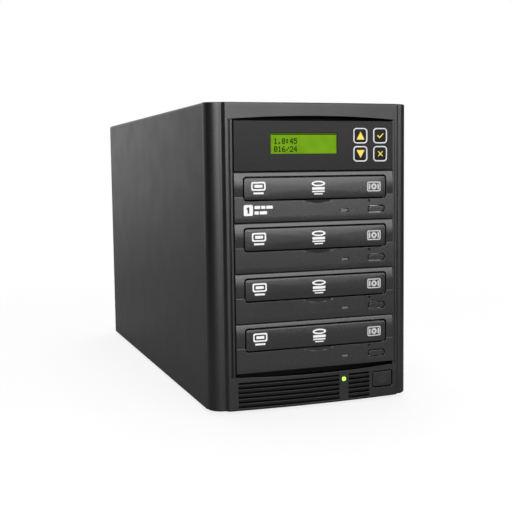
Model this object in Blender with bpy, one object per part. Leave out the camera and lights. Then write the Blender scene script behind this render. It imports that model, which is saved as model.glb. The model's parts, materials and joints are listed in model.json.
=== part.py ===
"""A four-drive disc duplicator tower, piece by piece. Metres, +Z up, the front faces -Y."""

import math

import bmesh
import bpy
from mathutils import Matrix, Vector

# Gaps and walls that many pieces share
FIT_GAP = 0.0003
CUT_OVERRUN = 0.0030
JOIN_LAP = 0.0005
SHEET = 0.0010

# Disc, tray and door, which set the width of all that follows
DISC_RADIUS = 0.0600
SMALL_DISC_RADIUS = 0.0400
DISC_PLAY = 0.0008
TRAY_RIM = 0.0032
TRAY_FRONT_MARGIN = 0.0042
TRAY_REAR_MARGIN = 0.0220
TRAY_HEIGHT = 0.0070
TRAY_FLOOR = 0.0022
SMALL_DISC_STEP = 0.0016
TRAY_SLOT_WIDTH = 0.0380
TRAY_SLOT_REACH = 0.0060
TRAY_LIP = 0.0020
TRAY_LIP_HEIGHT = 0.0130
TRAY_ABOVE_DOOR_BOTTOM = 0.0020
TRAY_NOTCH_RADIUS = 0.0110
DOOR_OVER_TRAY = 0.0021
DOOR_RADIUS = 0.0022
DOOR_EDGE = 0.0004
DOOR_THICKNESS = 0.0026
DOOR_SET_BACK = 0.00025
DOOR_GAP = 0.0006
DOOR_OFFSET = 0.0007

# Bays and drive faceplates
DRIVE_COUNT = 4
BAY_PITCH = 0.0430
BAY_GAP = 0.0005
FACE_MARGIN = 0.0079
FACE_THICKNESS = 0.0050
FACE_EDGE = 0.0005
DOOR_BOTTOM = 0.0188
DOOR_TOP_MARGIN = 0.0047
SLAB_TOP = 0.0220
BAND_SET_BACK = 0.0010
BAND_CROWN = 0.0009
BAND_TOP_ROUND = 0.0013
SCOOP_WIDTH = 0.0270
SCOOP_DEPTH = 0.0030
SCOOP_RUN = 0.0024
SCOOP_OFFSET = 0.0015
EJECT_WIDTH = 0.0154
EJECT_HEIGHT = 0.0052
EJECT_INSET = 0.0162
EJECT_ABOVE = 0.0087
EJECT_PROUD = 0.0003
EJECT_EDGE = 0.0005
EJECT_TRAVEL = 0.0006
LIGHT_WIDTH = 0.0060
LIGHT_HEIGHT = 0.0018
LIGHT_INSET = 0.0469
LIGHT_ABOVE = 0.0082
LIGHT_SET_BACK = 0.0003
PINHOLE_RADIUS = 0.0007
PINHOLE_INSET = 0.0234
PINHOLE_ABOVE = 0.0162

# Drive shells and spindles
SHELL_SIDE_LAP = 0.0010
SHELL_BOTTOM_LAP = 0.0006
SHELL_WALL = 0.0012
SHELL_DECK = 0.0015
SHELL_REAR_ROOM = 0.0170
DECK_DROP = 0.0035
RAIL_WIDTH = 0.0120
RAIL_HEIGHT = 0.0014
SPINDLE_RADIUS = 0.0145
SPINDLE_TABLE = 0.0012
HUB_RADIUS = 0.0073

# Control panel
PANEL_THICKNESS = 0.0030
PANEL_EDGE = 0.0005
WINDOW_WIDTH = 0.0614
WINDOW_HEIGHT = 0.0180
WINDOW_LEFT_INSET = 0.0329
WINDOW_ABOVE = 0.0142
WINDOW_SET_BACK = 0.0010
WINDOW_THICKNESS = 0.0016
KEY_RING = 0.0136
KEY_RING_WIDTH = 0.0012
KEY_RING_PROUD = 0.00035
KEY_RING_RADIUS = 0.0032
KEY_GAP_ACROSS = 0.0056
KEY_GAP_UP = 0.0021
KEY_RIGHT_INSET = 0.0058
KEY_ABOVE = 0.0072
KEY_PROUD = 0.0005
KEY_EDGE = 0.0004
KEY_BODY = 0.0022
KEY_TRAVEL = 0.0006
KEY_STEM = 0.0030
POST_RADIUS = 0.0025
POST_INSET = 0.0080
POST_HEIGHT = 0.0050
ARM_THICKNESS = 0.0015
ARM_LENGTH = 0.0200
ARM_MARGIN = 0.0090
BOARD = 0.0016
DISPLAY_MARGIN = 0.0070

# Controller bay
BAY_TRAY_FRONT = 0.0120
BAY_TRAY_DEPTH = 0.1300
BAY_TRAY_ABOVE = 0.0015
BAY_TRAY_FLANGE = 0.0320
STANDOFF_HEIGHT = 0.0040
STANDOFF_RADIUS = 0.0030
STANDOFF_INSET = 0.0080
BOARD_MARGIN = 0.0040
CHIP_SIZE = 0.0280
CHIP_HEIGHT = 0.0026
MEMORY_WIDTH = 0.0110
MEMORY_LENGTH = 0.0210
PLUG_WIDTH = 0.0160
PLUG_DEPTH = 0.0070
PLUG_HEIGHT = 0.0090
PLUG_SPACE = 0.0080
PLUG_COUNT = 5

# Case
COLUMN_WIDTH = 0.0205
FIRST_BAY_HEIGHT = 0.0335
TOP_BAND = 0.0162
CASE_DEPTH = 0.4218
COVER_BEND_RADIUS = 0.0030
COVER_REAR_FLANGE = 0.0120
PAN_FLANGE = 0.0150
CAGE_FLANGE = 0.0120
CAGE_SHORT = 0.0240
CAGE_SLOT_LENGTH = 0.0100
CAGE_SLOT_HEIGHT = 0.0034
CAGE_SLOT_ABOVE = 0.0100
CAGE_SLOT_FIRST = 0.0480
CAGE_SLOT_PITCH = 0.0790
AIR_WINDOW_MARGIN = 0.0060
FOOT_HEIGHT = 0.0030
FOOT_RADIUS = 0.0090
FOOT_EDGE = 0.0008
FOOT_INSET = 0.0260

# Front bezel
BEZEL_DEPTH = 0.0236
BEZEL_WALL = 0.0025
BEZEL_DRAFT = 0.0009
BEZEL_EDGE = 0.0012
BULGE_REACH = 0.0006
CREST_BEHIND = 0.0036
CREST_RUN = 0.0014
CORNER_RADIUS = 0.0150
CORNER_START = 0.0026
TROUGH_RUN = 0.0018
TROUGH_SINK = 0.0002
RIM_GAP = 0.0007
RIM_WIDTH = 0.0019
RIM_BEHIND = 0.0018
RIM_WEB = 0.0016
RIM_WEB_BEHIND = 0.0046
GROOVE_WIDTH = 0.0012
TOP_LIP_GAP = 0.0012
TOP_LIP_ARCH = 0.0027
BOTTOM_LIP_GAP = 0.0035
BOTTOM_LIP_ARCH = 0.0017
LOUVRE_COUNT = 6
LOUVRE_TOP_MARGIN = 0.0092
LOUVRE_BOTTOM_MARGIN = 0.0038
LOUVRE_SLOT = 0.0010
LOUVRE_LAND = 0.0005
LOUVRE_SET_BACK = 0.0010
LOUVRE_LEFT_INSET = 0.0020
LOUVRE_RIGHT_INSET = 0.0230
POWER_LIGHT_RADIUS = 0.0016
POWER_LIGHT_INSET = 0.0484
POWER_LIGHT_BELOW = 0.0124
POWER_LIGHT_DOME = 0.0004
POWER_LIGHT_LENGTH = 0.0060
POWER_LIGHT_FLANGE = 0.0006
POWER_RIB_WIDTH = 0.0090
POWER_BUTTON_WIDTH = 0.0196
POWER_BUTTON_HEIGHT = 0.0136
POWER_BUTTON_OUTSET = 0.0007
POWER_BUTTON_BELOW = 0.0094
POWER_BUTTON_RADIUS = 0.0012
POWER_BUTTON_SINK = 0.0002
POWER_BUTTON_DEPTH = 0.0080
POWER_BUTTON_GAP = 0.0005
POWER_BUTTON_STEM = 0.0040
POWER_TRAVEL = 0.0020
SWITCH_SIZE = 0.0110
SWITCH_DEPTH = 0.0080

# Rear panel, case fan and thumbscrews
REAR_FLANGE = 0.0100
FAN_SIZE = 0.0800
FAN_DEPTH = 0.0250
FAN_WALL = 0.0015
FAN_CORNER = 0.0040
FAN_HUB_RADIUS = 0.0170
FAN_HUB_PLATE = 0.0025
FAN_STRUT = 0.0030
FAN_TIP_GAP = 0.0012
FAN_DROP = 0.0150
BLADE_CHORD = 0.0165
BLADE_THICKNESS = 0.0012
BLADE_ROOT_LAP = 0.0008
GUARD_WIRE_RADIUS = 0.0009
GUARD_RING_PITCH = 0.0085
GUARD_FIRST_RING = 0.0105
GUARD_EYE_RADIUS = 0.0036
GUARD_EYE_INSET = 0.0043
GUARD_EYE_THICKNESS = 0.0010
SCREW_HEAD_RADIUS = 0.0052
SCREW_HEAD_LENGTH = 0.0060
SCREW_HEAD_EDGE = 0.0007
SCREW_SHANK_RADIUS = 0.0017
SCREW_SHANK_LENGTH = 0.0080
SCREW_BELOW_SUPPLY = 0.0130

# Power supply
SUPPLY_WIDTH = 0.1500
SUPPLY_HEIGHT = 0.0860
SUPPLY_DEPTH = 0.1400
SUPPLY_WALL = 0.0012
SUPPLY_BELOW_TOP = 0.0125
SUPPLY_FRAME = 0.0050
SUPPLY_FAN_MARGIN = 0.0050
SUPPLY_FAN_BOSS = 0.0016
SUPPLY_FAN_LENGTH = 0.0180
SUPPLY_FAN_RING = 0.0012
GRILLE_FIRST_RADIUS = 0.0120
GRILLE_SLOT = 0.0042
GRILLE_BAR = 0.0024
GRILLE_SPOKE = 0.0030
INLET_INSET = 0.0270
INLET_BELOW_TOP = 0.0250
INLET_WIDTH = 0.0270
INLET_HEIGHT = 0.0200
INLET_FLANGE = 0.0030
INLET_FLANGE_THICKNESS = 0.0020
INLET_BODY = 0.0200
INLET_WALL = 0.0015
INLET_CAVITY = 0.0160
INLET_CHAMFER = 0.0045
PIN_WIDTH = 0.0020
PIN_HEIGHT = 0.0040
PIN_LENGTH = 0.0108
PIN_APART = 0.0070
PIN_DROP = 0.0018
ROCKER_HALF_WIDTH = 0.0064
ROCKER_HALF_HEIGHT = 0.0093
ROCKER_FRONT = 0.0039
ROCKER_DISH = 0.0012
ROCKER_SHOULDER = 0.0015
ROCKER_KEEL = 0.0050
ROCKER_PIVOT_DEPTH = 0.0020
ROCKER_ABOVE_BOTTOM = 0.0240

# Angles, counts and shares
CORNER_SWEEP = math.radians(68)
BLADE_ROOT_PITCH = math.radians(46)
BLADE_TIP_PITCH = math.radians(28)
ROCKER_REST = math.radians(7)
SHARP_ANGLE = math.radians(32)
QUARTER = math.pi / 2
CORNER_STEPS = 7
TROUGH_STEPS = 4
BULGE_STEPS = 16
LIP_STEPS = 12
ROUND_STEPS = 4
DISC_STEPS = 48
SMALL_STEPS = 16
TINY_STEPS = 10
FAN_STEPS = 32
WIRE_STEPS = 5
BAND_STEPS = 6
BLADE_COUNT = 7
BLADE_STATIONS = 3
GRILLE_RINGS = 4
GRILLE_SEGMENTS = 4
GRILLE_STEPS = 5
GUARD_RINGS = 4
AIR_SLOT_COUNT = 3
KEY_PLACES = {"key_up": (1, 1), "key_ok": (0, 1), "key_down": (1, 0), "key_cancel": (0, 0)}

# Sizes that follow from the ones above
TRAY_WIDTH = 2 * (DISC_RADIUS + DISC_PLAY + TRAY_RIM)
DISC_RECESS_RADIUS = DISC_RADIUS + DISC_PLAY
SMALL_RECESS_RADIUS = SMALL_DISC_RADIUS + DISC_PLAY
TRAY_LENGTH = TRAY_FRONT_MARGIN + 2 * DISC_RECESS_RADIUS + TRAY_REAR_MARGIN
DOOR_WIDTH = TRAY_WIDTH + 2 * DOOR_OVER_TRAY
FACE_WIDTH = DOOR_WIDTH + 2 * FACE_MARGIN
FACE_HEIGHT = BAY_PITCH - BAY_GAP
FACE_HALF = FACE_WIDTH / 2
CASE_WIDTH = FACE_WIDTH + 2 * COLUMN_WIDTH
CASE_HALF = CASE_WIDTH / 2
DOOR_TOP = FACE_HEIGHT - DOOR_TOP_MARGIN
TRAY_FRONT = DOOR_SET_BACK + DOOR_THICKNESS + FIT_GAP
TRAY_BACK = TRAY_FRONT + TRAY_LENGTH
TRAY_BOTTOM = DOOR_BOTTOM + TRAY_ABOVE_DOOR_BOTTOM
TRAY_TOP = TRAY_BOTTOM + TRAY_HEIGHT
DISC_CENTRE_Y = TRAY_FRONT + TRAY_FRONT_MARGIN + DISC_RECESS_RADIUS
SHELL_HALF = FACE_HALF - SHELL_SIDE_LAP
SHELL_FRONT = FACE_THICKNESS + FIT_GAP
SHELL_BACK = TRAY_BACK + SHELL_REAR_ROOM
SHELL_BOTTOM = SHELL_BOTTOM_LAP
SHELL_TOP = FACE_HEIGHT - SHELL_BOTTOM_LAP
DECK_TOP = TRAY_BOTTOM - DECK_DROP
CAGE_INNER = SHELL_HALF + FIT_GAP
CAGE_OUTER = CAGE_INNER + SHEET

# Frame: the origin is the middle of the footprint on the floor
TOTAL_DEPTH = BULGE_REACH + BEZEL_DEPTH + CASE_DEPTH + FIT_GAP + SCREW_HEAD_LENGTH
FACE_Y = BULGE_REACH - TOTAL_DEPTH / 2
SEAM_Y = FACE_Y + BEZEL_DEPTH
BACK_Y = SEAM_Y + CASE_DEPTH
PANEL_REAR_Y = BACK_Y - SHEET - FIT_GAP
PANEL_INNER_Y = PANEL_REAR_Y - SHEET
CASE_BOTTOM = FOOT_HEIGHT
PAN_TOP = CASE_BOTTOM + SHEET
BAY_BOTTOM = CASE_BOTTOM + FIRST_BAY_HEIGHT
PANEL_BOTTOM = BAY_BOTTOM + DRIVE_COUNT * BAY_PITCH
PANEL_TOP = PANEL_BOTTOM + FACE_HEIGHT
CASE_TOP = PANEL_TOP + TOP_BAND
INSIDE_HALF = CASE_HALF - SHEET - FIT_GAP
INSIDE_TOP = CASE_TOP - SHEET - FIT_GAP
OPENING_HALF = FACE_HALF + RIM_GAP + RIM_WIDTH + GROOVE_WIDTH
CREST_HALF = OPENING_HALF + CREST_RUN
BULGE_SAG = CREST_BEHIND + BULGE_REACH
SUPPLY_TOP = CASE_TOP - SHEET - SUPPLY_BELOW_TOP
SUPPLY_BOTTOM = SUPPLY_TOP - SUPPLY_HEIGHT
SUPPLY_REAR_Y = PANEL_INNER_Y - FIT_GAP
SUPPLY_FAN_RADIUS = SUPPLY_HEIGHT / 2 - SUPPLY_FAN_MARGIN
SUPPLY_FAN_X = SUPPLY_FAN_MARGIN + SUPPLY_FAN_RADIUS - SUPPLY_WIDTH / 2
SUPPLY_FAN_Z = SUPPLY_BOTTOM + SUPPLY_HEIGHT / 2
FAN_Z = SUPPLY_BOTTOM - FAN_DROP - FAN_SIZE / 2
FAN_BORE = FAN_SIZE / 2 - FAN_WALL
SCREW_PLACES = ((-1, "left"), (1, "right"))

# Finishes: colour, roughness, metallic
FINISHES = {
    "bezel": ((0.030, 0.030, 0.031), 0.42, 0.0),
    "paint": ((0.034, 0.034, 0.035), 0.50, 0.0),
    "panel": ((0.040, 0.040, 0.044), 0.45, 0.0),
    "faceplate": ((0.036, 0.036, 0.039), 0.48, 0.0),
    "door": ((0.028, 0.028, 0.030), 0.38, 0.0),
    "button": ((0.045, 0.045, 0.048), 0.40, 0.0),
    "tray": ((0.020, 0.020, 0.021), 0.55, 0.0),
    "zinc": ((0.560, 0.570, 0.580), 0.38, 1.0),
    "rubber": ((0.012, 0.012, 0.012), 0.80, 0.0),
    "display": ((0.180, 0.480, 0.020), 0.25, 0.0),
    "light": ((0.550, 0.550, 0.560), 0.30, 0.0),
    "power_light": ((0.550, 0.850, 0.180), 0.20, 0.0),
    "board": ((0.010, 0.120, 0.040), 0.45, 0.0),
    "fan": ((0.015, 0.015, 0.016), 0.50, 0.0),
    "chrome": ((0.750, 0.760, 0.780), 0.15, 1.0),
}


def point_on(axis, pair, along):
    """A point with its pair of coordinates across an axis, in X, Y, Z order, and one along it."""
    first, second = pair
    return {"X": (along, first, second), "Y": (first, along, second), "Z": (first, second, along)}[axis]


def arc(centre, radius, start, end, steps):
    """Points along a round stretch, both ends included."""
    angles = [start + (end - start) * step / steps for step in range(steps + 1)]
    return [(centre[0] + radius * math.cos(a), centre[1] + radius * math.sin(a)) for a in angles]


def ring(centre, radius, steps):
    """Points round a full circle."""
    return arc(centre, radius, 0, 4 * QUARTER, steps)[:-1]


def rounded_rectangle(low, high, radius, steps=ROUND_STEPS):
    """The outline between two opposite corners, with round corners."""
    (left, bottom), (right, top) = low, high
    centres = (
        (right - radius, bottom + radius),
        (right - radius, top - radius),
        (left + radius, top - radius),
        (left + radius, bottom + radius),
    )
    outline = []
    for quarter, centre in enumerate(centres):
        outline += arc(centre, radius, (quarter - 1) * QUARTER, quarter * QUARTER, steps)
    return outline


def pill(centre, width, height, steps=TINY_STEPS):
    """The outline of a slot with half-round ends."""
    radius = height / 2
    reach = width / 2 - radius
    right = arc((centre[0] + reach, centre[1]), radius, -QUARTER, QUARTER, steps)
    left = arc((centre[0] - reach, centre[1]), radius, QUARTER, 3 * QUARTER, steps)
    return right + left


def loft(rings):
    """A closed solid through rings of equal counts, with its two ends capped."""
    solid = bmesh.new()
    loops = [[solid.verts.new(point) for point in points] for points in rings]
    for near, far in zip(loops, loops[1:]):
        for index, vert in enumerate(near):
            after = (index + 1) % len(near)
            solid.faces.new((vert, near[after], far[after], far[index]))
    solid.faces.new(loops[0])
    solid.faces.new(loops[-1])
    bmesh.ops.recalc_face_normals(solid, faces=solid.faces)
    return solid


def prism(outline, axis, start, end):
    """An outline carried straight along an axis."""
    return loft([[point_on(axis, pair, along) for pair in outline] for along in (start, end)])


def rectangle(low, high):
    """The four corners of an outline between two opposite ones."""
    return [(low[0], low[1]), (high[0], low[1]), (high[0], high[1]), (low[0], high[1])]


def block(low, high):
    """A box between two opposite corners."""
    return prism(rectangle(low, high), "Z", low[2], high[2])


def soft_plate(low, high, radius, edge, front, back):
    """A plate facing -Y with round corners and a softened front edge."""
    inner_low = (low[0] + edge, low[1] + edge)
    inner_high = (high[0] - edge, high[1] - edge)
    face = rounded_rectangle(inner_low, inner_high, radius - edge)
    outer = rounded_rectangle(low, high, radius)
    stations = ((face, front), (outer, front + edge), (outer, back))
    return loft([[point_on("Y", pair, along) for pair in outline] for outline, along in stations])


def turned(profile, axis, centre, steps):
    """Radius and height pairs spun round an axis: a profile from axis to axis, or a closed section off it."""
    solid = bmesh.new()
    path = [solid.verts.new((radius, 0, height)) for radius, height in profile]
    pairs = list(zip(path, path[1:]))
    if profile[0][0] > 0:
        pairs.append((path[-1], path[0]))
    edges = [solid.edges.new(pair) for pair in pairs]
    around = {"cent": (0, 0, 0), "axis": (0, 0, 1), "angle": 4 * QUARTER}
    bmesh.ops.spin(solid, geom=path + edges, steps=steps, use_merge=True, **around)
    bmesh.ops.remove_doubles(solid, verts=solid.verts, dist=FIT_GAP / DISC_STEPS)
    bmesh.ops.recalc_face_normals(solid, faces=solid.faces)
    turns = {"X": (QUARTER, "Y"), "Y": (-QUARTER, "X"), "Z": (0, "Z")}
    angle, hinge = turns[axis]
    solid.transform(Matrix.Translation(centre) @ Matrix.Rotation(angle, 4, hinge))
    return solid


def disc(radius, start, end, axis, centre, steps):
    """A plain round plate or rod along an axis."""
    return turned([(0, start), (radius, start), (radius, end), (0, end)], axis, centre, steps)


def merged(parts):
    """Several separate meshes as one."""
    whole = bmesh.new()
    for part in parts:
        carrier = bpy.data.meshes.new("carrier")
        part.to_mesh(carrier)
        part.free()
        whole.from_mesh(carrier)
        bpy.data.meshes.remove(carrier)
    return whole


def new_material(name, finish):
    colour, roughness, metallic = FINISHES[finish]
    made = bpy.data.materials.new(name)
    made.use_nodes = True
    shader = made.node_tree.nodes["Principled BSDF"]
    shader.inputs["Base Color"].default_value = (*colour, 1)
    shader.inputs["Roughness"].default_value = roughness
    shader.inputs["Metallic"].default_value = metallic
    return made


def add_object(name, solid, finish, pivot=(0, 0, 0)):
    """A named object with its own material and its origin on its pivot."""
    solid.transform(Matrix.Translation(-Vector(pivot)))
    mesh = bpy.data.meshes.new(name)
    solid.to_mesh(mesh)
    solid.free()
    mesh.shade_smooth()
    mesh.set_sharp_from_angle(angle=SHARP_ANGLE)
    mesh.materials.append(new_material(name, finish))
    made = bpy.data.objects.new(name, mesh)
    made.location = pivot
    bpy.context.scene.collection.objects.link(made)
    return made


def change(target, operation, parts):
    """Cuts parts out of a piece, joins them to it, or keeps what they share with it."""
    name = f"{target.name}_{operation.lower()}_{len(target.modifiers)}"
    mesh = bpy.data.meshes.new(name)
    solid = merged(parts)
    solid.to_mesh(mesh)
    solid.free()
    tool = bpy.data.objects.new(name, mesh)
    tool.hide_render = True
    tool.display_type = "WIRE"
    bpy.context.scene.collection.objects.link(tool)
    step = target.modifiers.new(name, "BOOLEAN")
    step.operation = operation
    step.object = tool


def cut(target, *parts):
    change(target, "DIFFERENCE", parts)


def join(target, *parts):
    change(target, "UNION", parts)


def settled(made):
    """The finished mesh of an object, which leaves the scene with its tools."""
    graph = bpy.context.evaluated_depsgraph_get()
    mesh = bpy.data.meshes.new_from_object(made.evaluated_get(graph))
    for step in list(made.modifiers):
        bpy.data.objects.remove(step.object)
    bpy.data.objects.remove(made)
    return mesh


def place_in_bay(name, mesh, bay_frame, pivot=(0, 0, 0)):
    """One copy of a drive's piece, carried by the empty of its bay."""
    made = bpy.data.objects.new(name, mesh)
    made.parent = bay_frame
    made.location = pivot
    bpy.context.scene.collection.objects.link(made)


# Front bezel


def bulge_behind(x):
    """How far the bowed middle of the bezel lies behind the drives' front plane, a shallow parabola."""
    share = x / CREST_HALF
    return CREST_BEHIND - BULGE_SAG * (1 - share * share)


def bezel_plan(wall, back):
    """The bezel in plan, moved inwards by a wall: round corners, a trough, a crest and the bowed middle."""
    centre = (CASE_HALF - CORNER_RADIUS, SEAM_Y - CORNER_START)
    side = [(CASE_HALF - wall, back)]
    side += arc(centre, CORNER_RADIUS - wall, 0, -CORNER_SWEEP, CORNER_STEPS)
    outer_end = arc(centre, CORNER_RADIUS, 0, -CORNER_SWEEP, 1)[-1]
    trough = (outer_end[0] - TROUGH_RUN, outer_end[1] + TROUGH_SINK)
    crest = (CREST_HALF, FACE_Y + CREST_BEHIND)
    for step in range(TROUGH_STEPS + 1):
        share = step / TROUGH_STEPS
        ease = (1 - math.cos(share * math.pi)) / 2
        x = trough[0] + (crest[0] - trough[0]) * share
        side.append((x, trough[1] + (crest[1] - trough[1]) * ease + wall))
    steps = range(1, BULGE_STEPS)
    middle = [CREST_HALF * (1 - 2 * step / BULGE_STEPS) for step in steps]
    bowed = [(x, FACE_Y + bulge_behind(x) + wall) for x in middle]
    return side + bowed + [(-x, y) for x, y in reversed(side)]


def bezel_solid(wall, back, edge):
    """The bezel's outer form, or the space inside it: drafted ends and, with an edge, softened ones."""
    turn_in = edge * (1 - math.cos(QUARTER / 2))
    insets = ((edge, 0), (turn_in, turn_in), (0, edge)) if edge else ((0, 0),)
    rings = []
    for inset, lift in insets:
        plan = bezel_plan(wall + inset, back)
        rings.append([(x, y, bezel_end(y) + wall + lift) for x, y in plan])
    for inset, lift in reversed(insets):
        plan = bezel_plan(wall + inset, back)
        rings.append([(x, y, CASE_TOP + CASE_BOTTOM - bezel_end(y) - wall - lift) for x, y in plan])
    return loft(rings)


def bezel_end(y):
    """Height of the bezel's bottom face, which rises a little towards the front."""
    return CASE_BOTTOM + BEZEL_DRAFT * (SEAM_Y - y) / BEZEL_DEPTH


def bay_opening():
    """The opening for the five bays, whose upper and lower lips are shallow arches."""
    across = [OPENING_HALF * (2 * step / LIP_STEPS - 1) for step in range(LIP_STEPS + 1)]
    arch_shares = [1 - (x / OPENING_HALF) ** 2 for x in across]
    lower = [(x, BAY_BOTTOM - BOTTOM_LIP_GAP - BOTTOM_LIP_ARCH * s) for x, s in zip(across, arch_shares)]
    upper = [(x, PANEL_TOP + TOP_LIP_GAP + TOP_LIP_ARCH * s) for x, s in zip(across, arch_shares)]
    return prism(lower + upper[::-1], "Y", FACE_Y - CUT_OVERRUN, SEAM_Y + CUT_OVERRUN)


def bay_rim(side):
    """The narrow flange between a faceplate's edge and the groove beside the bezel's lip."""
    inner = FACE_HALF + RIM_GAP
    outer = inner + RIM_WIDTH
    root = OPENING_HALF + CREST_RUN
    front = FACE_Y + RIM_BEHIND
    web_back = FACE_Y + RIM_WEB_BEHIND + RIM_WEB
    web_front = FACE_Y + RIM_WEB_BEHIND
    outline = (
        (inner, front),
        (outer, front),
        (outer, web_front),
        (root, web_front),
        (root, web_back),
        (inner, web_back),
    )
    low = BAY_BOTTOM - BOTTOM_LIP_GAP + FIT_GAP
    return prism([(side * x, y) for x, y in outline], "Z", low, PANEL_TOP + TOP_LIP_GAP - FIT_GAP)


def louvre_slot(left, right, base, height):
    """A slot that follows the bowed front. The rib above it leans in towards the slot."""
    section = (
        (-CUT_OVERRUN, 0),
        (BEZEL_WALL + CUT_OVERRUN, 0),
        (BEZEL_WALL + CUT_OVERRUN, LOUVRE_SLOT),
        (LOUVRE_SET_BACK, LOUVRE_SLOT),
        (0, height),
        (-CUT_OVERRUN, height),
    )
    facet = 2 * CREST_HALF / BULGE_STEPS
    facets = [facet * step - CREST_HALF for step in range(BULGE_STEPS + 1)]
    stations = [left] + [x for x in facets if left < x < right] + [right]
    return loft([[(x, FACE_Y + bulge_behind(x) + d, base + h) for d, h in section] for x in stations])


def louvre_slots():
    """Two fields of slots, one at each side of the rib that holds the power light."""
    light = FACE_HALF - POWER_LIGHT_INSET
    fields = (
        (LOUVRE_LEFT_INSET - FACE_HALF, light - POWER_RIB_WIDTH / 2),
        (light + POWER_RIB_WIDTH / 2, FACE_HALF - LOUVRE_RIGHT_INSET),
    )
    span = FIRST_BAY_HEIGHT - LOUVRE_TOP_MARGIN - LOUVRE_BOTTOM_MARGIN
    pitch = span / (LOUVRE_COUNT - 1)
    slots = []
    for left, right in fields:
        for row in range(LOUVRE_COUNT):
            base = CASE_BOTTOM + LOUVRE_BOTTOM_MARGIN + row * pitch - LOUVRE_SLOT / 2
            height = pitch - LOUVRE_LAND if row < LOUVRE_COUNT - 1 else LOUVRE_SLOT + LOUVRE_LAND
            slots.append(louvre_slot(left, right, base, height))
    return slots


def power_button_corners(grow):
    """Opposite corners of the power button's outline, grown by a gap for its hole."""
    right = FACE_HALF + POWER_BUTTON_OUTSET
    top = BAY_BOTTOM - POWER_BUTTON_BELOW
    low = (right - POWER_BUTTON_WIDTH - grow, top - POWER_BUTTON_HEIGHT - grow)
    return low, (right + grow, top + grow)


def power_light_place():
    x = FACE_HALF - POWER_LIGHT_INSET
    return x, FACE_Y + bulge_behind(x), BAY_BOTTOM - POWER_LIGHT_BELOW


def make_front_bezel():
    bezel = add_object("front_bezel", bezel_solid(0, SEAM_Y - FIT_GAP, BEZEL_EDGE), "bezel")
    cut(bezel, bezel_solid(BEZEL_WALL, SEAM_Y + CUT_OVERRUN, 0))
    cut(bezel, bay_opening())
    for side in (-1, 1):
        join(bezel, bay_rim(side))
    light = power_light_place()
    hole = disc(
        POWER_LIGHT_RADIUS + FIT_GAP, -CUT_OVERRUN, BEZEL_WALL + CUT_OVERRUN, "Y", light, SMALL_STEPS
    )
    low, high = power_button_corners(POWER_BUTTON_GAP)
    outline = rounded_rectangle(low, high, POWER_BUTTON_RADIUS + POWER_BUTTON_GAP)
    button_back = FACE_Y + CREST_BEHIND + BEZEL_WALL + CUT_OVERRUN
    button_hole = prism(outline, "Y", FACE_Y - CUT_OVERRUN, button_back)
    cut(bezel, hole, button_hole, *louvre_slots())


def make_power_button():
    low, high = power_button_corners(0)
    middle = ((low[0] + high[0]) / 2, (low[1] + high[1]) / 2)
    outline = rounded_rectangle(low, high, POWER_BUTTON_RADIUS)
    back = FACE_Y + POWER_BUTTON_DEPTH
    pivot = (middle[0], FACE_Y, middle[1])
    body = prism(outline, "Y", FACE_Y - CUT_OVERRUN, back)
    button = add_object("power_button", body, "bezel", pivot)
    change(button, "INTERSECT", [bezel_solid(POWER_BUTTON_SINK, SEAM_Y, 0)])
    half = POWER_BUTTON_STEM / 2
    switch_front = SEAM_Y - FIT_GAP - SWITCH_DEPTH
    join(
        button,
        block(
            (middle[0] - half, back - JOIN_LAP, middle[1] - half),
            (middle[0] + half, switch_front - POWER_TRAVEL - FIT_GAP, middle[1] + half),
        ),
    )
    reach = SWITCH_SIZE / 2
    add_object(
        "power_switch",
        block(
            (middle[0] - reach, switch_front, middle[1] - reach),
            (middle[0] + reach, SEAM_Y - FIT_GAP, middle[1] + reach),
        ),
        "tray",
    )


def make_power_light():
    """A domed lens with a flange that rests behind the bezel's wall."""
    x, y, z = power_light_place()
    flange = POWER_LIGHT_RADIUS + POWER_LIGHT_FLANGE
    behind = BEZEL_WALL + FIT_GAP
    shoulder = POWER_LIGHT_RADIUS * math.cos(QUARTER / 2)
    profile = [
        (0, -POWER_LIGHT_DOME),
        (shoulder, -POWER_LIGHT_DOME / 2),
        (POWER_LIGHT_RADIUS, POWER_LIGHT_DOME / 2),
        (POWER_LIGHT_RADIUS, behind),
        (flange, behind),
        (flange, POWER_LIGHT_LENGTH),
        (0, POWER_LIGHT_LENGTH),
    ]
    add_object("power_light", turned(profile, "Y", (x, y, z), SMALL_STEPS), "power_light", (x, y, z))


# Case


def cover_outline(depth, bend):
    """A U of sheet seen from the front, open at the bottom, with round outer shoulders."""
    outer_centre = (CASE_HALF - COVER_BEND_RADIUS, CASE_TOP - COVER_BEND_RADIUS)
    inner_centre = (CASE_HALF - depth - bend, CASE_TOP - depth - bend)
    outer = arc(outer_centre, COVER_BEND_RADIUS, 0, QUARTER, ROUND_STEPS)
    inner = arc(inner_centre, bend, QUARTER, 0, ROUND_STEPS)
    right = [(CASE_HALF, CASE_BOTTOM)] + outer
    right_inner = inner + [(CASE_HALF - depth, CASE_BOTTOM)]
    left = [(-x, z) for x, z in reversed(right)]
    left_inner = [(-x, z) for x, z in reversed(right_inner)]
    return right + left + left_inner + right_inner


def screw_places():
    """Where the two thumbscrews go through the cover's rear flanges, under the power supply."""
    x = CASE_HALF - SHEET - SCREW_HEAD_RADIUS - FIT_GAP
    z = SUPPLY_BOTTOM - SCREW_BELOW_SUPPLY
    return [(f"cover_screw_{word}", side * x, z) for side, word in SCREW_PLACES]


def screw_holes(y, start):
    """Clearance holes for the thumbscrews, from a start in front of a sheet's rear face."""
    hole = SCREW_SHANK_RADIUS + FIT_GAP
    return [disc(hole, start, CUT_OVERRUN, "Y", (x, y, z), TINY_STEPS) for _, x, z in screw_places()]


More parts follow.
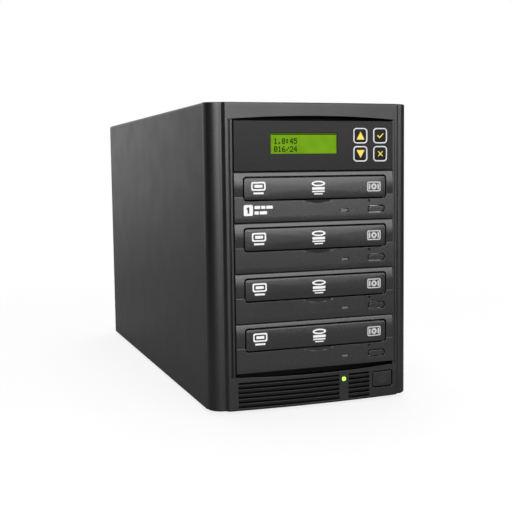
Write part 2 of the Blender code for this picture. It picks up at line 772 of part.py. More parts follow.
def make_wrap_cover():
    bend = COVER_BEND_RADIUS - SHEET
    cover = add_object("wrap_cover", prism(cover_outline(SHEET, bend), "Y", SEAM_Y, BACK_Y), "paint")
    join(cover, prism(cover_outline(COVER_REAR_FLANGE, SHEET), "Y", BACK_Y - SHEET, BACK_Y))
    cut(cover, *screw_holes(BACK_Y, -2 * CUT_OVERRUN))


def make_chassis_frame():
    """A bottom pan with side flanges, bent up into a front wall with the bay opening."""
    pan_back = PANEL_INNER_Y - FIT_GAP
    pan = block((-INSIDE_HALF, SEAM_Y, CASE_BOTTOM), (INSIDE_HALF, pan_back, PAN_TOP))
    frame = add_object("chassis_frame", pan, "zinc")
    for side in (-1, 1):
        edges = sorted((side * INSIDE_HALF, side * (INSIDE_HALF - SHEET)))
        join(frame, block((edges[0], SEAM_Y, CASE_BOTTOM), (edges[1], pan_back, CASE_BOTTOM + PAN_FLANGE)))
    wall = rounded_rectangle((-INSIDE_HALF, CASE_BOTTOM), (INSIDE_HALF, INSIDE_TOP), COVER_BEND_RADIUS)
    join(frame, prism(wall, "Y", SEAM_Y, SEAM_Y + SHEET))
    opening = CAGE_OUTER + FIT_GAP
    bays = block(
        (-opening, SEAM_Y - CUT_OVERRUN, BAY_BOTTOM - SHEET),
        (opening, SEAM_Y + CUT_OVERRUN, PANEL_TOP + SHEET),
    )
    cut(frame, bays)
    low = PAN_TOP + AIR_WINDOW_MARGIN
    pitch = (BAY_BOTTOM - AIR_WINDOW_MARGIN - low) / AIR_SLOT_COUNT
    right = FACE_HALF - LOUVRE_RIGHT_INSET
    slots = []
    for row in range(AIR_SLOT_COUNT):
        base = low + row * pitch
        slots.append(
            block(
                (LOUVRE_LEFT_INSET - FACE_HALF, SEAM_Y - CUT_OVERRUN, base),
                (right, SEAM_Y + CUT_OVERRUN, base + pitch / 2),
            )
        )
    cut(frame, *slots)


def make_bay_cages():
    """Two side plates: a tongue in the front wall's opening, a full plate behind it and a foot flange."""
    front = FACE_Y + FACE_THICKNESS + 2 * FIT_GAP
    wall_back = SEAM_Y + SHEET + FIT_GAP
    back = FACE_Y + SHELL_BACK - CAGE_SHORT
    low = PAN_TOP + FIT_GAP
    outline = (
        (front, BAY_BOTTOM - SHEET + FIT_GAP),
        (wall_back, BAY_BOTTOM - SHEET + FIT_GAP),
        (wall_back, low),
        (back, low),
        (back, PANEL_TOP),
        (front, PANEL_TOP),
    )
    for side, word in ((-1, "left"), (1, "right")):
        plate = prism(outline, "X", side * CAGE_INNER, side * CAGE_OUTER)
        cage = add_object(f"bay_cage_{word}", plate, "zinc")
        edges = sorted((side * CAGE_INNER, side * (CAGE_OUTER + CAGE_FLANGE)))
        join(cage, block((edges[0], wall_back, low), (edges[1], back, low + SHEET)))
        slots = []
        edges = sorted((side * (CAGE_INNER - CUT_OVERRUN), side * (CAGE_OUTER + CUT_OVERRUN)))
        for bay in range(DRIVE_COUNT + 1):
            for column in range(2):
                y = FACE_Y + CAGE_SLOT_FIRST + column * CAGE_SLOT_PITCH
                z = BAY_BOTTOM + bay * BAY_PITCH + CAGE_SLOT_ABOVE
                far = (edges[1], y + CAGE_SLOT_LENGTH, z + CAGE_SLOT_HEIGHT)
                slots.append(block((edges[0], y, z), far))
        cut(cage, *slots)


def foot_places():
    x = CASE_HALF - FOOT_INSET
    places = []
    for row, y in (("front", SEAM_Y + FOOT_INSET), ("rear", BACK_Y - FOOT_INSET)):
        for word, side in (("left", -1), ("right", 1)):
            places.append((f"foot_{row}_{word}", side * x, y))
    return places


def make_feet():
    profile = [
        (0, 0),
        (FOOT_RADIUS - FOOT_EDGE, 0),
        (FOOT_RADIUS, FOOT_EDGE),
        (FOOT_RADIUS, FOOT_HEIGHT - FIT_GAP),
        (0, FOOT_HEIGHT - FIT_GAP),
    ]
    for name, x, y in foot_places():
        add_object(name, turned(profile, "Z", (x, y, 0), SMALL_STEPS), "rubber", (x, y, 0))


def make_rear_panel():
    """A plate with side flanges, the power supply's window, the fan's bore and the screw holes."""
    low = PAN_TOP + FIT_GAP
    plate = rounded_rectangle((-INSIDE_HALF, low), (INSIDE_HALF, INSIDE_TOP), COVER_BEND_RADIUS)
    panel = add_object("rear_panel", prism(plate, "Y", PANEL_INNER_Y, PANEL_REAR_Y), "zinc")
    flange_low = CASE_BOTTOM + PAN_FLANGE + FIT_GAP
    flange_high = INSIDE_TOP - COVER_BEND_RADIUS
    for side in (-1, 1):
        edges = sorted((side * INSIDE_HALF, side * (INSIDE_HALF - SHEET)))
        flange_front = PANEL_INNER_Y - REAR_FLANGE
        join(panel, block((edges[0], flange_front, flange_low), (edges[1], PANEL_REAR_Y, flange_high)))
    half = SUPPLY_WIDTH / 2 - SUPPLY_FRAME
    window = block(
        (-half, PANEL_INNER_Y - CUT_OVERRUN, SUPPLY_BOTTOM + SUPPLY_FRAME),
        (half, PANEL_REAR_Y + CUT_OVERRUN, SUPPLY_TOP - SUPPLY_FRAME),
    )
    start = -SHEET - CUT_OVERRUN
    bore = disc(FAN_BORE, start, CUT_OVERRUN, "Y", (0, PANEL_REAR_Y, FAN_Z), FAN_STEPS)
    cut(panel, window, bore, *screw_holes(PANEL_REAR_Y, start))


def make_cover_screws():
    """Thumbscrews: a round head outside the cover's flange and a shank through flange and panel."""
    profile = [
        (0, -SCREW_SHANK_LENGTH),
        (SCREW_SHANK_RADIUS, -SCREW_SHANK_LENGTH),
        (SCREW_SHANK_RADIUS, FIT_GAP),
        (SCREW_HEAD_RADIUS, FIT_GAP),
        (SCREW_HEAD_RADIUS, FIT_GAP + SCREW_HEAD_LENGTH - SCREW_HEAD_EDGE),
        (SCREW_HEAD_RADIUS - SCREW_HEAD_EDGE, FIT_GAP + SCREW_HEAD_LENGTH),
        (0, FIT_GAP + SCREW_HEAD_LENGTH),
    ]
    for name, x, z in screw_places():
        add_object(name, turned(profile, "Y", (x, BACK_Y, z), SMALL_STEPS), "zinc", (x, BACK_Y, z))


# Control panel


def key_corners(column, row, inset):
    """Opposite corners of a key's ring, drawn in by an inset. Columns count from the right."""
    right = FACE_HALF - KEY_RIGHT_INSET - column * (KEY_RING + KEY_GAP_ACROSS)
    low = PANEL_BOTTOM + KEY_ABOVE + row * (KEY_RING + KEY_GAP_UP)
    return (right - KEY_RING + inset, low + inset), (right - inset, low + KEY_RING - inset)


def window_corners(inset):
    left = WINDOW_LEFT_INSET - FACE_HALF
    low = PANEL_BOTTOM + WINDOW_ABOVE
    return (left + inset, low + inset), (left + WINDOW_WIDTH - inset, low + WINDOW_HEIGHT - inset)


def make_panel_fascia():
    """The moulded plate of the top bay, with key collars, the window and arms that slide into the bay."""
    back = FACE_Y + PANEL_THICKNESS
    low = (-FACE_HALF, PANEL_BOTTOM)
    high = (FACE_HALF, PANEL_TOP)
    plate = soft_plate(low, high, 2 * PANEL_EDGE, PANEL_EDGE, FACE_Y, back)
    fascia = add_object("panel_fascia", plate, "panel")
    collars = []
    holes = []
    for column, row in KEY_PLACES.values():
        ring_low, ring_high = key_corners(column, row, 0)
        outline = rounded_rectangle(ring_low, ring_high, KEY_RING_RADIUS)
        collars.append(prism(outline, "Y", FACE_Y - KEY_RING_PROUD, FACE_Y + JOIN_LAP))
        hole_low, hole_high = key_corners(column, row, KEY_RING_WIDTH)
        outline = rounded_rectangle(hole_low, hole_high, KEY_RING_RADIUS - KEY_RING_WIDTH)
        holes.append(prism(outline, "Y", FACE_Y - CUT_OVERRUN, back + CUT_OVERRUN))
    join(fascia, *collars)
    window_low, window_high = window_corners(0)
    holes.append(prism(rectangle(window_low, window_high), "Y", FACE_Y - CUT_OVERRUN, back + CUT_OVERRUN))
    cut(fascia, *holes)
    posts = []
    for x in (POST_INSET - FACE_HALF, FACE_HALF - POST_INSET):
        for z in (PANEL_BOTTOM + POST_INSET / 2, PANEL_TOP - POST_INSET / 2):
            posts.append(disc(POST_RADIUS, -JOIN_LAP, POST_HEIGHT, "Y", (x, back, z), TINY_STEPS))
    join(fascia, *posts)
    arm_outer = SHELL_HALF - SHEET - FIT_GAP
    arms = []
    for side in (-1, 1):
        edges = sorted((side * arm_outer, side * (arm_outer - ARM_THICKNESS)))
        arm_low = (edges[0], back - JOIN_LAP, PANEL_BOTTOM + ARM_MARGIN)
        arms.append(block(arm_low, (edges[1], back + ARM_LENGTH, PANEL_TOP - ARM_MARGIN)))
    join(fascia, *arms)


def make_display():
    """The display module on its board behind the fascia, and the clear window in front of it."""
    window_low, window_high = window_corners(0)
    back = FACE_Y + PANEL_THICKNESS
    board_front = back + POST_HEIGHT + FIT_GAP
    half = FACE_HALF - POST_INSET + POST_RADIUS
    board = block(
        (-half, board_front, PANEL_BOTTOM + FIT_GAP), (half, board_front + BOARD, PANEL_TOP - FIT_GAP)
    )
    module = add_object("display_module", board, "board")
    join(
        module,
        block(
            (window_low[0] - DISPLAY_MARGIN, back + FIT_GAP, window_low[1] - DISPLAY_MARGIN),
            (window_high[0] + DISPLAY_MARGIN, board_front + JOIN_LAP, window_high[1] + DISPLAY_MARGIN / 2),
        ),
    )
    low, high = window_corners(FIT_GAP)
    front = FACE_Y + WINDOW_SET_BACK
    pane = block((low[0], front, low[1]), (high[0], front + WINDOW_THICKNESS, high[1]))
    add_object("display_window", pane, "display")


def make_keys():
    """Four sprung key caps, each with a stem that reaches its switch on the display board."""
    board_front = FACE_Y + PANEL_THICKNESS + POST_HEIGHT + FIT_GAP
    for name, (column, row) in KEY_PLACES.items():
        low, high = key_corners(column, row, KEY_RING_WIDTH + FIT_GAP)
        middle = ((low[0] + high[0]) / 2, (low[1] + high[1]) / 2)
        front = FACE_Y - KEY_PROUD
        radius = KEY_RING_RADIUS - KEY_RING_WIDTH - FIT_GAP
        cap = soft_plate(low, high, radius, KEY_EDGE, front, front + KEY_BODY)
        key = add_object(name, cap, "door", (middle[0], front, middle[1]))
        half = KEY_STEM / 2
        stem_end = board_front - KEY_TRAVEL - FIT_GAP
        join(
            key,
            block(
                (middle[0] - half, front + KEY_BODY - JOIN_LAP, middle[1] - half),
                (middle[0] + half, stem_end, middle[1] + half),
            ),
        )


def make_controller():
    """A folded bay tray with standoffs, and the controller board that rests on them."""
    floor = PANEL_BOTTOM + BAY_TRAY_ABOVE
    front = FACE_Y + BAY_TRAY_FRONT
    back = front + BAY_TRAY_DEPTH
    plate = block((-SHELL_HALF, front, floor), (SHELL_HALF, back, floor + SHEET))
    tray = add_object("controller_tray", plate, "zinc")
    for side in (-1, 1):
        edges = sorted((side * SHELL_HALF, side * (SHELL_HALF - SHEET)))
        join(tray, block((edges[0], front, floor), (edges[1], back, floor + BAY_TRAY_FLANGE)))
    board_half = SHELL_HALF - SHEET - BOARD_MARGIN
    board_front = front + ARM_LENGTH
    posts = []
    for x in (STANDOFF_INSET - board_half, board_half - STANDOFF_INSET):
        for y in (board_front + STANDOFF_INSET, back - BOARD_MARGIN - STANDOFF_INSET):
            place = (x, y, floor + SHEET)
            posts.append(disc(STANDOFF_RADIUS, -JOIN_LAP, STANDOFF_HEIGHT, "Z", place, TINY_STEPS))
    join(tray, *posts)
    base = floor + SHEET + STANDOFF_HEIGHT + FIT_GAP
    top = base + BOARD
    board_back = back - BOARD_MARGIN
    board = add_object(
        "controller_board", block((-board_half, board_front, base), (board_half, board_back, top)), "board"
    )
    lap = top - JOIN_LAP
    chip_y = board_front + STANDOFF_INSET
    parts = [
        block((-CHIP_SIZE / 2, chip_y, lap), (CHIP_SIZE / 2, chip_y + CHIP_SIZE, top + CHIP_HEIGHT)),
    ]
    for side in (-1, 1):
        edges = sorted((side * CHIP_SIZE, side * (CHIP_SIZE + MEMORY_WIDTH)))
        far = (edges[1], chip_y + MEMORY_LENGTH, top + CHIP_HEIGHT / 2)
        parts.append(block((edges[0], chip_y, lap), far))
    plug_pitch = PLUG_WIDTH + PLUG_SPACE
    for number in range(PLUG_COUNT):
        x = (number - (PLUG_COUNT - 1) / 2) * plug_pitch
        plug_back = board_back - PLUG_DEPTH
        near = (x - PLUG_WIDTH / 2, plug_back - PLUG_DEPTH, lap)
        parts.append(block(near, (x + PLUG_WIDTH / 2, plug_back, top + PLUG_HEIGHT)))
    join(board, *parts)


# Optical drives, in the frame of their bay: x from the middle, y from the front plane, z from the bottom


def eject_centre():
    return FACE_HALF - EJECT_INSET, EJECT_ABOVE


def drive_faceplate():
    """A flat lower slab and a crowned upper band, cut for the door, the controls and the finger scoop."""
    band = []
    for step in range(BAND_STEPS + 1):
        share = step / BAND_STEPS
        height = SLAB_TOP + (FACE_HEIGHT - BAND_TOP_ROUND - SLAB_TOP) * share
        band.append((BAND_SET_BACK - BAND_CROWN * math.sin(share * math.pi), height))
    outline = [(FACE_EDGE, 0), (0, FACE_EDGE), (0, SLAB_TOP - FACE_EDGE), (FACE_EDGE, SLAB_TOP)]
    outline += band
    outline.append((BAND_SET_BACK + BAND_TOP_ROUND, FACE_HEIGHT))
    outline += [(FACE_THICKNESS, FACE_HEIGHT), (FACE_THICKNESS, 0)]
    plate = add_object("faceplate", prism(outline, "X", -FACE_HALF, FACE_HALF), "faceplate")
    start = -CUT_OVERRUN
    end = FACE_THICKNESS + CUT_OVERRUN
    half = DOOR_WIDTH / 2 + DOOR_GAP
    low = (DOOR_OFFSET - half, DOOR_BOTTOM - DOOR_GAP)
    high = (DOOR_OFFSET + half, DOOR_TOP + DOOR_GAP)
    doorway = rounded_rectangle(low, high, DOOR_RADIUS + DOOR_GAP)
    cut(plate, prism(doorway, "Y", start, end))
    gap = FIT_GAP
    eject = prism(pill(eject_centre(), EJECT_WIDTH + 2 * gap, EJECT_HEIGHT + 2 * gap), "Y", start, end)
    light_x = FACE_HALF - LIGHT_INSET
    reach = LIGHT_WIDTH / 2 + gap
    rise = LIGHT_HEIGHT / 2 + gap
    light = block((light_x - reach, start, LIGHT_ABOVE - rise), (light_x + reach, end, LIGHT_ABOVE + rise))
    pinhole_centre = (FACE_HALF - PINHOLE_INSET, 0, PINHOLE_ABOVE)
    pinhole = disc(PINHOLE_RADIUS, start, end, "Y", pinhole_centre, TINY_STEPS)
    cut(plate, eject, light, pinhole, scoop())
    return settled(plate)


def scoop():
    """A crescent that slopes back and up from the slab's front to the doorway's lower edge."""
    radius = ((SCOOP_WIDTH / 2) ** 2 + SCOOP_DEPTH**2) / (2 * SCOOP_DEPTH)
    edge = DOOR_BOTTOM - DOOR_GAP
    half_angle = math.asin(SCOOP_WIDTH / 2 / radius)
    centre = (SCOOP_OFFSET, edge - SCOOP_DEPTH + radius)
    crescent = arc(centre, radius, -QUARTER - half_angle, -QUARTER + half_angle, TINY_STEPS)
    for side in (1, -1):
        crescent.append((SCOOP_OFFSET + side * SCOOP_WIDTH / 2, edge + SCOOP_DEPTH))
    slope = SCOOP_DEPTH / SCOOP_RUN
    stations = (-CUT_OVERRUN / 2, SCOOP_RUN)
    return loft([[(x, y, z + slope * y) for x, z in crescent] for y in stations])


def drive_door():
    half = DOOR_WIDTH / 2
    front = DOOR_SET_BACK
    low = (DOOR_OFFSET - half, DOOR_BOTTOM)
    high = (DOOR_OFFSET + half, DOOR_TOP)
    door = soft_plate(low, high, DOOR_RADIUS, DOOR_EDGE, front, front + DOOR_THICKNESS)
    return settled(add_object("door", door, "door"))


def drive_eject_button():
    """A pill-shaped cap with a softened front, held in the faceplate's slot."""
    x, z = eject_centre()
    face = pill((x, z), EJECT_WIDTH - 2 * EJECT_EDGE, EJECT_HEIGHT - 2 * EJECT_EDGE)
    body = pill((x, z), EJECT_WIDTH, EJECT_HEIGHT)
    back = SHELL_FRONT - FIT_GAP / 2 - EJECT_TRAVEL
    stations = ((face, -EJECT_PROUD), (body, EJECT_EDGE - EJECT_PROUD), (body, back))
    solid = loft([[point_on("Y", pair, along) for pair in outline] for outline, along in stations])
    solid.transform(Matrix.Translation((-x, 0, -z)))
    return settled(add_object("eject_button", solid, "button"))


def drive_light():
    x = FACE_HALF - LIGHT_INSET
    low = (x - LIGHT_WIDTH / 2, LIGHT_SET_BACK, LIGHT_ABOVE - LIGHT_HEIGHT / 2)
    high = (x + LIGHT_WIDTH / 2, FACE_THICKNESS, LIGHT_ABOVE + LIGHT_HEIGHT / 2)
    return settled(add_object("light", block(low, high), "light"))


def drive_tray():
    """The disc tray: two stepped recesses, finger notches, the spindle slot and the lip for the door."""
    half = TRAY_WIDTH / 2
    outline = rounded_rectangle(
        (DOOR_OFFSET - half, TRAY_FRONT), (DOOR_OFFSET + half, TRAY_BACK), DOOR_RADIUS
    )
    tray = add_object("tray", prism(outline, "Z", TRAY_BOTTOM, TRAY_TOP), "tray")
    centre = (DOOR_OFFSET, DISC_CENTRE_Y, TRAY_TOP)
    small_floor = TRAY_FLOOR + SMALL_DISC_STEP - TRAY_HEIGHT
    cut(tray, disc(DISC_RECESS_RADIUS, small_floor, CUT_OVERRUN, "Z", centre, DISC_STEPS))
    cut(tray, disc(SMALL_RECESS_RADIUS, small_floor - SMALL_DISC_STEP, CUT_OVERRUN, "Z", centre, DISC_STEPS))
    slot_half = TRAY_SLOT_WIDTH / 2
    slot = arc((DOOR_OFFSET, DISC_CENTRE_Y), slot_half, 2 * QUARTER, 4 * QUARTER, TINY_STEPS)
    slot_back = DISC_CENTRE_Y + DISC_RECESS_RADIUS + TRAY_SLOT_REACH
    slot += [(DOOR_OFFSET + slot_half, slot_back), (DOOR_OFFSET - slot_half, slot_back)]
    cut(tray, prism(slot, "Z", TRAY_BOTTOM - CUT_OVERRUN, TRAY_TOP + CUT_OVERRUN))
    notches = []
    reach = DISC_RECESS_RADIUS * math.sin(QUARTER / 2)
    for side in (-1, 1):
        place = (DOOR_OFFSET + side * reach, DISC_CENTRE_Y - reach, TRAY_TOP)
        notches.append(disc(TRAY_NOTCH_RADIUS, small_floor, CUT_OVERRUN, "Z", place, SMALL_STEPS))
    cut(tray, *notches)
    lip_half = half - DOOR_OVER_TRAY
    join(
        tray,
        block(
            (DOOR_OFFSET - lip_half, TRAY_FRONT, TRAY_TOP - JOIN_LAP),
            (DOOR_OFFSET + lip_half, TRAY_FRONT + TRAY_LIP, TRAY_BOTTOM + TRAY_LIP_HEIGHT),
        ),
    )
    return settled(tray)


def drive_shell():
    """A steel box with a front-open tray space, a deck, side rails and a rear-open electronics space."""
    low = (-SHELL_HALF, SHELL_FRONT, SHELL_BOTTOM)
    shell = add_object("shell", block(low, (SHELL_HALF, SHELL_BACK, SHELL_TOP)), "zinc")
    inner = SHELL_HALF - SHELL_WALL
    upper_far = (inner, SHELL_BACK - SHELL_WALL, SHELL_TOP - SHELL_WALL)
    upper = block((-inner, SHELL_FRONT - CUT_OVERRUN, DECK_TOP), upper_far)
    lower = block(
        (-inner, SHELL_FRONT + SHELL_WALL, SHELL_BOTTOM + SHELL_WALL),
        (inner, SHELL_BACK + CUT_OVERRUN, DECK_TOP - SHELL_DECK),
    )
    cut(shell, upper, lower)
    rails = []
    rail_top = TRAY_BOTTOM - FIT_GAP
    for side in (-1, 1):
        edges = sorted((side * (inner + JOIN_LAP), side * (inner - RAIL_WIDTH)))
        rail_low = (edges[0], SHELL_FRONT, rail_top - RAIL_HEIGHT)
        rails.append(block(rail_low, (edges[1], TRAY_BACK, rail_top)))
    join(shell, *rails)
    return settled(shell)


def drive_spindle():
    """The motor's turntable and disc hub, lowered under the tray, about its own axis."""
    low = FIT_GAP
    table = low + SPINDLE_TABLE
    top = DECK_DROP - FIT_GAP
    profile = [
        (0, low),
        (SPINDLE_RADIUS, low),
        (SPINDLE_RADIUS, table),
        (HUB_RADIUS, table),
        (HUB_RADIUS - FIT_GAP, top),
        (0, top),
    ]
    return settled(add_object("spindle", turned(profile, "Z", (0, 0, 0), SMALL_STEPS), "fan"))


def make_drives():
    """Four drives from shared meshes. Drive 1 is the source drive, in the bay under the panel."""
    x, z = eject_centre()
    pieces = (
        ("faceplate", drive_faceplate(), (0, 0, 0)),
        ("door", drive_door(), (0, 0, 0)),
        ("tray", drive_tray(), (0, 0, 0)),
        ("shell", drive_shell(), (0, 0, 0)),
        ("light", drive_light(), (0, 0, 0)),
        ("eject_button", drive_eject_button(), (x, 0, z)),
        ("spindle", drive_spindle(), (DOOR_OFFSET, DISC_CENTRE_Y, DECK_TOP)),
    )
    for number in range(1, DRIVE_COUNT + 1):
        bay_frame = bpy.data.objects.new(f"bay_{number}_frame", None)
        bay_frame.location = (0, FACE_Y, BAY_BOTTOM + (DRIVE_COUNT - number) * BAY_PITCH)
        bpy.context.scene.collection.objects.link(bay_frame)
        for word, mesh, pivot in pieces:
            place_in_bay(f"drive_{number}_{word}", mesh, bay_frame, pivot)


# Fans


def fan_blade(hub, tip, turn, middle):
    """One blade about the Y axis: a thin section that flattens from the hub to the tip."""
    rings = []
    for station in range(BLADE_STATIONS):
        share = station / (BLADE_STATIONS - 1)
        radius = hub + (tip - hub) * share
        pitch = BLADE_ROOT_PITCH + (BLADE_TIP_PITCH - BLADE_ROOT_PITCH) * share
        outward = Vector((math.cos(turn), 0, math.sin(turn)))
        around = Vector((-math.sin(turn), 0, math.cos(turn)))
        chord = around * math.cos(pitch) + Vector((0, 1, 0)) * math.sin(pitch)
        across = around * math.sin(pitch) - Vector((0, 1, 0)) * math.cos(pitch)
        centre = outward * radius + Vector((0, middle, 0))
        half_chord = chord * BLADE_CHORD / 2
        half_wall = across * BLADE_THICKNESS / 2
        corners = ((-1, -1), (1, -1), (1, 1), (-1, 1))
        rings.append([centre + half_chord * along + half_wall * aside for along, aside in corners])
    return loft(rings)


def make_rotor(name, centre, tip, start, end):
    """A hub with blades, between two distances along Y from its centre."""
    hub = disc(FAN_HUB_RADIUS, start, end, "Y", centre, FAN_STEPS)
    rotor = add_object(name, hub, "fan", centre)
    middle = (start + end) / 2
    blades = []
    for number in range(BLADE_COUNT):
        turn = number * 4 * QUARTER / BLADE_COUNT
        blade = fan_blade(FAN_HUB_RADIUS - BLADE_ROOT_LAP, tip, turn, middle)
        blade.transform(Matrix.Translation(centre))
        blades.append(blade)
    join(rotor, *blades)


def make_case_fan():
    """A square frame with a hub on struts, the rotor in front of it, and a wire guard behind the panel."""
    back = PANEL_INNER_Y - FIT_GAP
    front = back - FAN_DEPTH
    half = FAN_SIZE / 2
    outline = rounded_rectangle((-half, FAN_Z - half), (half, FAN_Z + half), FAN_CORNER)
    frame = add_object("case_fan_frame", prism(outline, "Y", front, back), "fan")
    centre = (0, back, FAN_Z)
    cut(frame, disc(FAN_BORE, -FAN_DEPTH - CUT_OVERRUN, CUT_OVERRUN, "Y", centre, FAN_STEPS))
    join(frame, disc(FAN_HUB_RADIUS, -FAN_HUB_PLATE, 0, "Y", centre, FAN_STEPS))
    strut = FAN_STRUT / 2
    reach = FAN_BORE + JOIN_LAP
    strut_front = back - FAN_HUB_PLATE
    join(frame, block((-reach, strut_front, FAN_Z - strut), (reach, back, FAN_Z + strut)))
    join(frame, block((-strut, strut_front, FAN_Z - reach), (strut, back, FAN_Z + reach)))
    hub_front = FIT_GAP + FAN_WALL - FAN_DEPTH
    make_rotor("case_fan_rotor", centre, FAN_BORE - FAN_TIP_GAP, hub_front, -FAN_HUB_PLATE - FIT_GAP)
    make_fan_guard()


def make_fan_guard():
    """Concentric wire rings welded to two crossed wires, with an eye at each corner."""
    eye_y = PANEL_REAR_Y + FIT_GAP
    wire_y = eye_y + GUARD_EYE_THICKNESS
    corner = FAN_SIZE / 2 - GUARD_EYE_INSET
    reach = corner / math.sin(QUARTER / 2)
    wires = []
    for side in (-1, 1):
        wire = disc(GUARD_WIRE_RADIUS, -reach, reach, "X", (0, 0, 0), WIRE_STEPS)
        wire.transform(Matrix.Translation((0, wire_y, FAN_Z)) @ Matrix.Rotation(side * QUARTER / 2, 4, "Y"))
        wires.append(wire)
    guard = add_object("case_fan_guard", wires[0], "chrome")
    join(guard, wires[1])
    rings = []
    for number in range(GUARD_RINGS):
        radius = GUARD_FIRST_RING + number * GUARD_RING_PITCH
        section = ring((radius, GUARD_WIRE_RADIUS), GUARD_WIRE_RADIUS, WIRE_STEPS)
        rings.append(turned(section, "Y", (0, wire_y, FAN_Z), FAN_STEPS))
    join(guard, *rings)
    eyes = []
    for x in (-corner, corner):
        for z in (FAN_Z - corner, FAN_Z + corner):
            eyes.append(disc(GUARD_EYE_RADIUS, 0, GUARD_EYE_THICKNESS, "Y", (x, eye_y, z), TINY_STEPS))
    join(guard, *eyes)


# Power supply


def inlet_centre():
    return SUPPLY_WIDTH / 2 - INLET_INSET, SUPPLY_TOP - INLET_BELOW_TOP


def rocker_centre():
    return SUPPLY_WIDTH / 2 - INLET_INSET, SUPPLY_BOTTOM + ROCKER_ABOVE_BOTTOM


def grille_slots():
    """Ring segments punched through the supply's rear wall in front of its fan."""
    slots = []
    start = SUPPLY_REAR_Y - SUPPLY_WALL - CUT_OVERRUN
    for number in range(GRILLE_RINGS):
        inner = GRILLE_FIRST_RADIUS + number * (GRILLE_SLOT + GRILLE_BAR)
        outer = inner + GRILLE_SLOT
        for segment in range(GRILLE_SEGMENTS):
            middle = (segment + 1 / 2) * 4 * QUARTER / GRILLE_SEGMENTS
            half_inner = 2 * QUARTER / GRILLE_SEGMENTS - GRILLE_SPOKE / 2 / inner
            half_outer = 2 * QUARTER / GRILLE_SEGMENTS - GRILLE_SPOKE / 2 / outer
            centre = (SUPPLY_FAN_X, SUPPLY_FAN_Z)
            outline = arc(centre, outer, middle - half_outer, middle + half_outer, GRILLE_STEPS)
            outline += arc(centre, inner, middle + half_inner, middle - half_inner, GRILLE_STEPS)
            slots.append(prism(outline, "Y", start, SUPPLY_REAR_Y + CUT_OVERRUN))
    return slots


def make_power_supply():
    """A steel box behind the rear panel's window, with a punched grille and holes for inlet and switch."""
    front = SUPPLY_REAR_Y - SUPPLY_DEPTH
    half = SUPPLY_WIDTH / 2
    box = block((-half, front, SUPPLY_BOTTOM), (half, SUPPLY_REAR_Y, SUPPLY_TOP))
    case = add_object("power_supply_case", box, "zinc")
    wall = SUPPLY_WALL
    near = (wall - half, front + wall, SUPPLY_BOTTOM + wall)
    cut(case, block(near, (half - wall, SUPPLY_REAR_Y - wall, SUPPLY_TOP - wall)))
    ring_inner = SUPPLY_FAN_RADIUS
    ring_outer = ring_inner + SUPPLY_FAN_RING
    ring_front = -wall - SUPPLY_FAN_BOSS - SUPPLY_FAN_LENGTH
    fan_centre = (SUPPLY_FAN_X, SUPPLY_REAR_Y, SUPPLY_FAN_Z)
    shroud = [
        (ring_inner, ring_front),
        (ring_outer, ring_front),
        (ring_outer, JOIN_LAP - wall),
        (ring_inner, JOIN_LAP - wall),
    ]
    boss_front = -wall - SUPPLY_FAN_BOSS
    boss_radius = GRILLE_FIRST_RADIUS - GRILLE_BAR
    boss = disc(boss_radius, boss_front, JOIN_LAP - wall, "Y", fan_centre, SMALL_STEPS)
    join(case, turned(shroud, "Y", fan_centre, FAN_STEPS), boss)
    x, z = inlet_centre()
    reach = INLET_WIDTH / 2 + FIT_GAP
    rise = INLET_HEIGHT / 2 + FIT_GAP
    start = SUPPLY_REAR_Y - wall - CUT_OVERRUN
    end = SUPPLY_REAR_Y + CUT_OVERRUN
    inlet_hole = block((x - reach, start, z - rise), (x + reach, end, z + rise))
    x, z = rocker_centre()
    reach = ROCKER_HALF_WIDTH + FIT_GAP
    rise = ROCKER_HALF_HEIGHT / math.cos(ROCKER_REST) + ROCKER_FRONT * math.sin(ROCKER_REST) + FIT_GAP
    rocker_hole = block((x - reach, start, z - rise), (x + reach, end, z + rise))
    cut(case, inlet_hole, rocker_hole, *grille_slots())
    tip = ring_inner - FAN_TIP_GAP
    back = -wall - SUPPLY_FAN_BOSS - FIT_GAP
    make_rotor("power_supply_fan", fan_centre, tip, back - SUPPLY_FAN_LENGTH + FIT_GAP, back)


def make_mains_inlet():
    """An appliance inlet: a flange outside the supply, a body through its wall, a keyed cavity, three pins."""
    x, z = inlet_centre()
    back = SUPPLY_REAR_Y + FIT_GAP + INLET_FLANGE_THICKNESS
    half = INLET_WIDTH / 2
    rise = INLET_HEIGHT / 2
    body = block((x - half, back - INLET_BODY, z - rise), (x + half, back - JOIN_LAP, z + rise))
    inlet = add_object("mains_inlet", body, "tray")
    reach = half + INLET_FLANGE
    flange = rounded_rectangle(
        (x - reach, z - rise - INLET_FLANGE), (x + reach, z + rise + INLET_FLANGE), INLET_FLANGE
    )
    join(inlet, prism(flange, "Y", SUPPLY_REAR_Y + FIT_GAP, back))
    inner = half - INLET_WALL
    inner_rise = rise - INLET_WALL
    cavity = (
        (x - inner, z - inner_rise),
        (x + inner, z - inner_rise),
        (x + inner, z + inner_rise - INLET_CHAMFER),
        (x + inner - INLET_CHAMFER, z + inner_rise),
        (x - inner + INLET_CHAMFER, z + inner_rise),
        (x - inner, z + inner_rise - INLET_CHAMFER),
    )
    cut(inlet, prism(cavity, "Y", back - INLET_CAVITY, back + CUT_OVERRUN))
    pins = []
    for across, up in ((-PIN_APART, -PIN_DROP), (0, PIN_DROP), (PIN_APART, -PIN_DROP)):
        pin_low = (x + across - PIN_WIDTH / 2, back - INLET_CAVITY - JOIN_LAP, z + up - PIN_HEIGHT / 2)
        pin_high = (x + across + PIN_WIDTH / 2, back - INLET_CAVITY + PIN_LENGTH, z + up + PIN_HEIGHT / 2)
        pins.append(block(pin_low, pin_high))
    join(inlet, *pins)


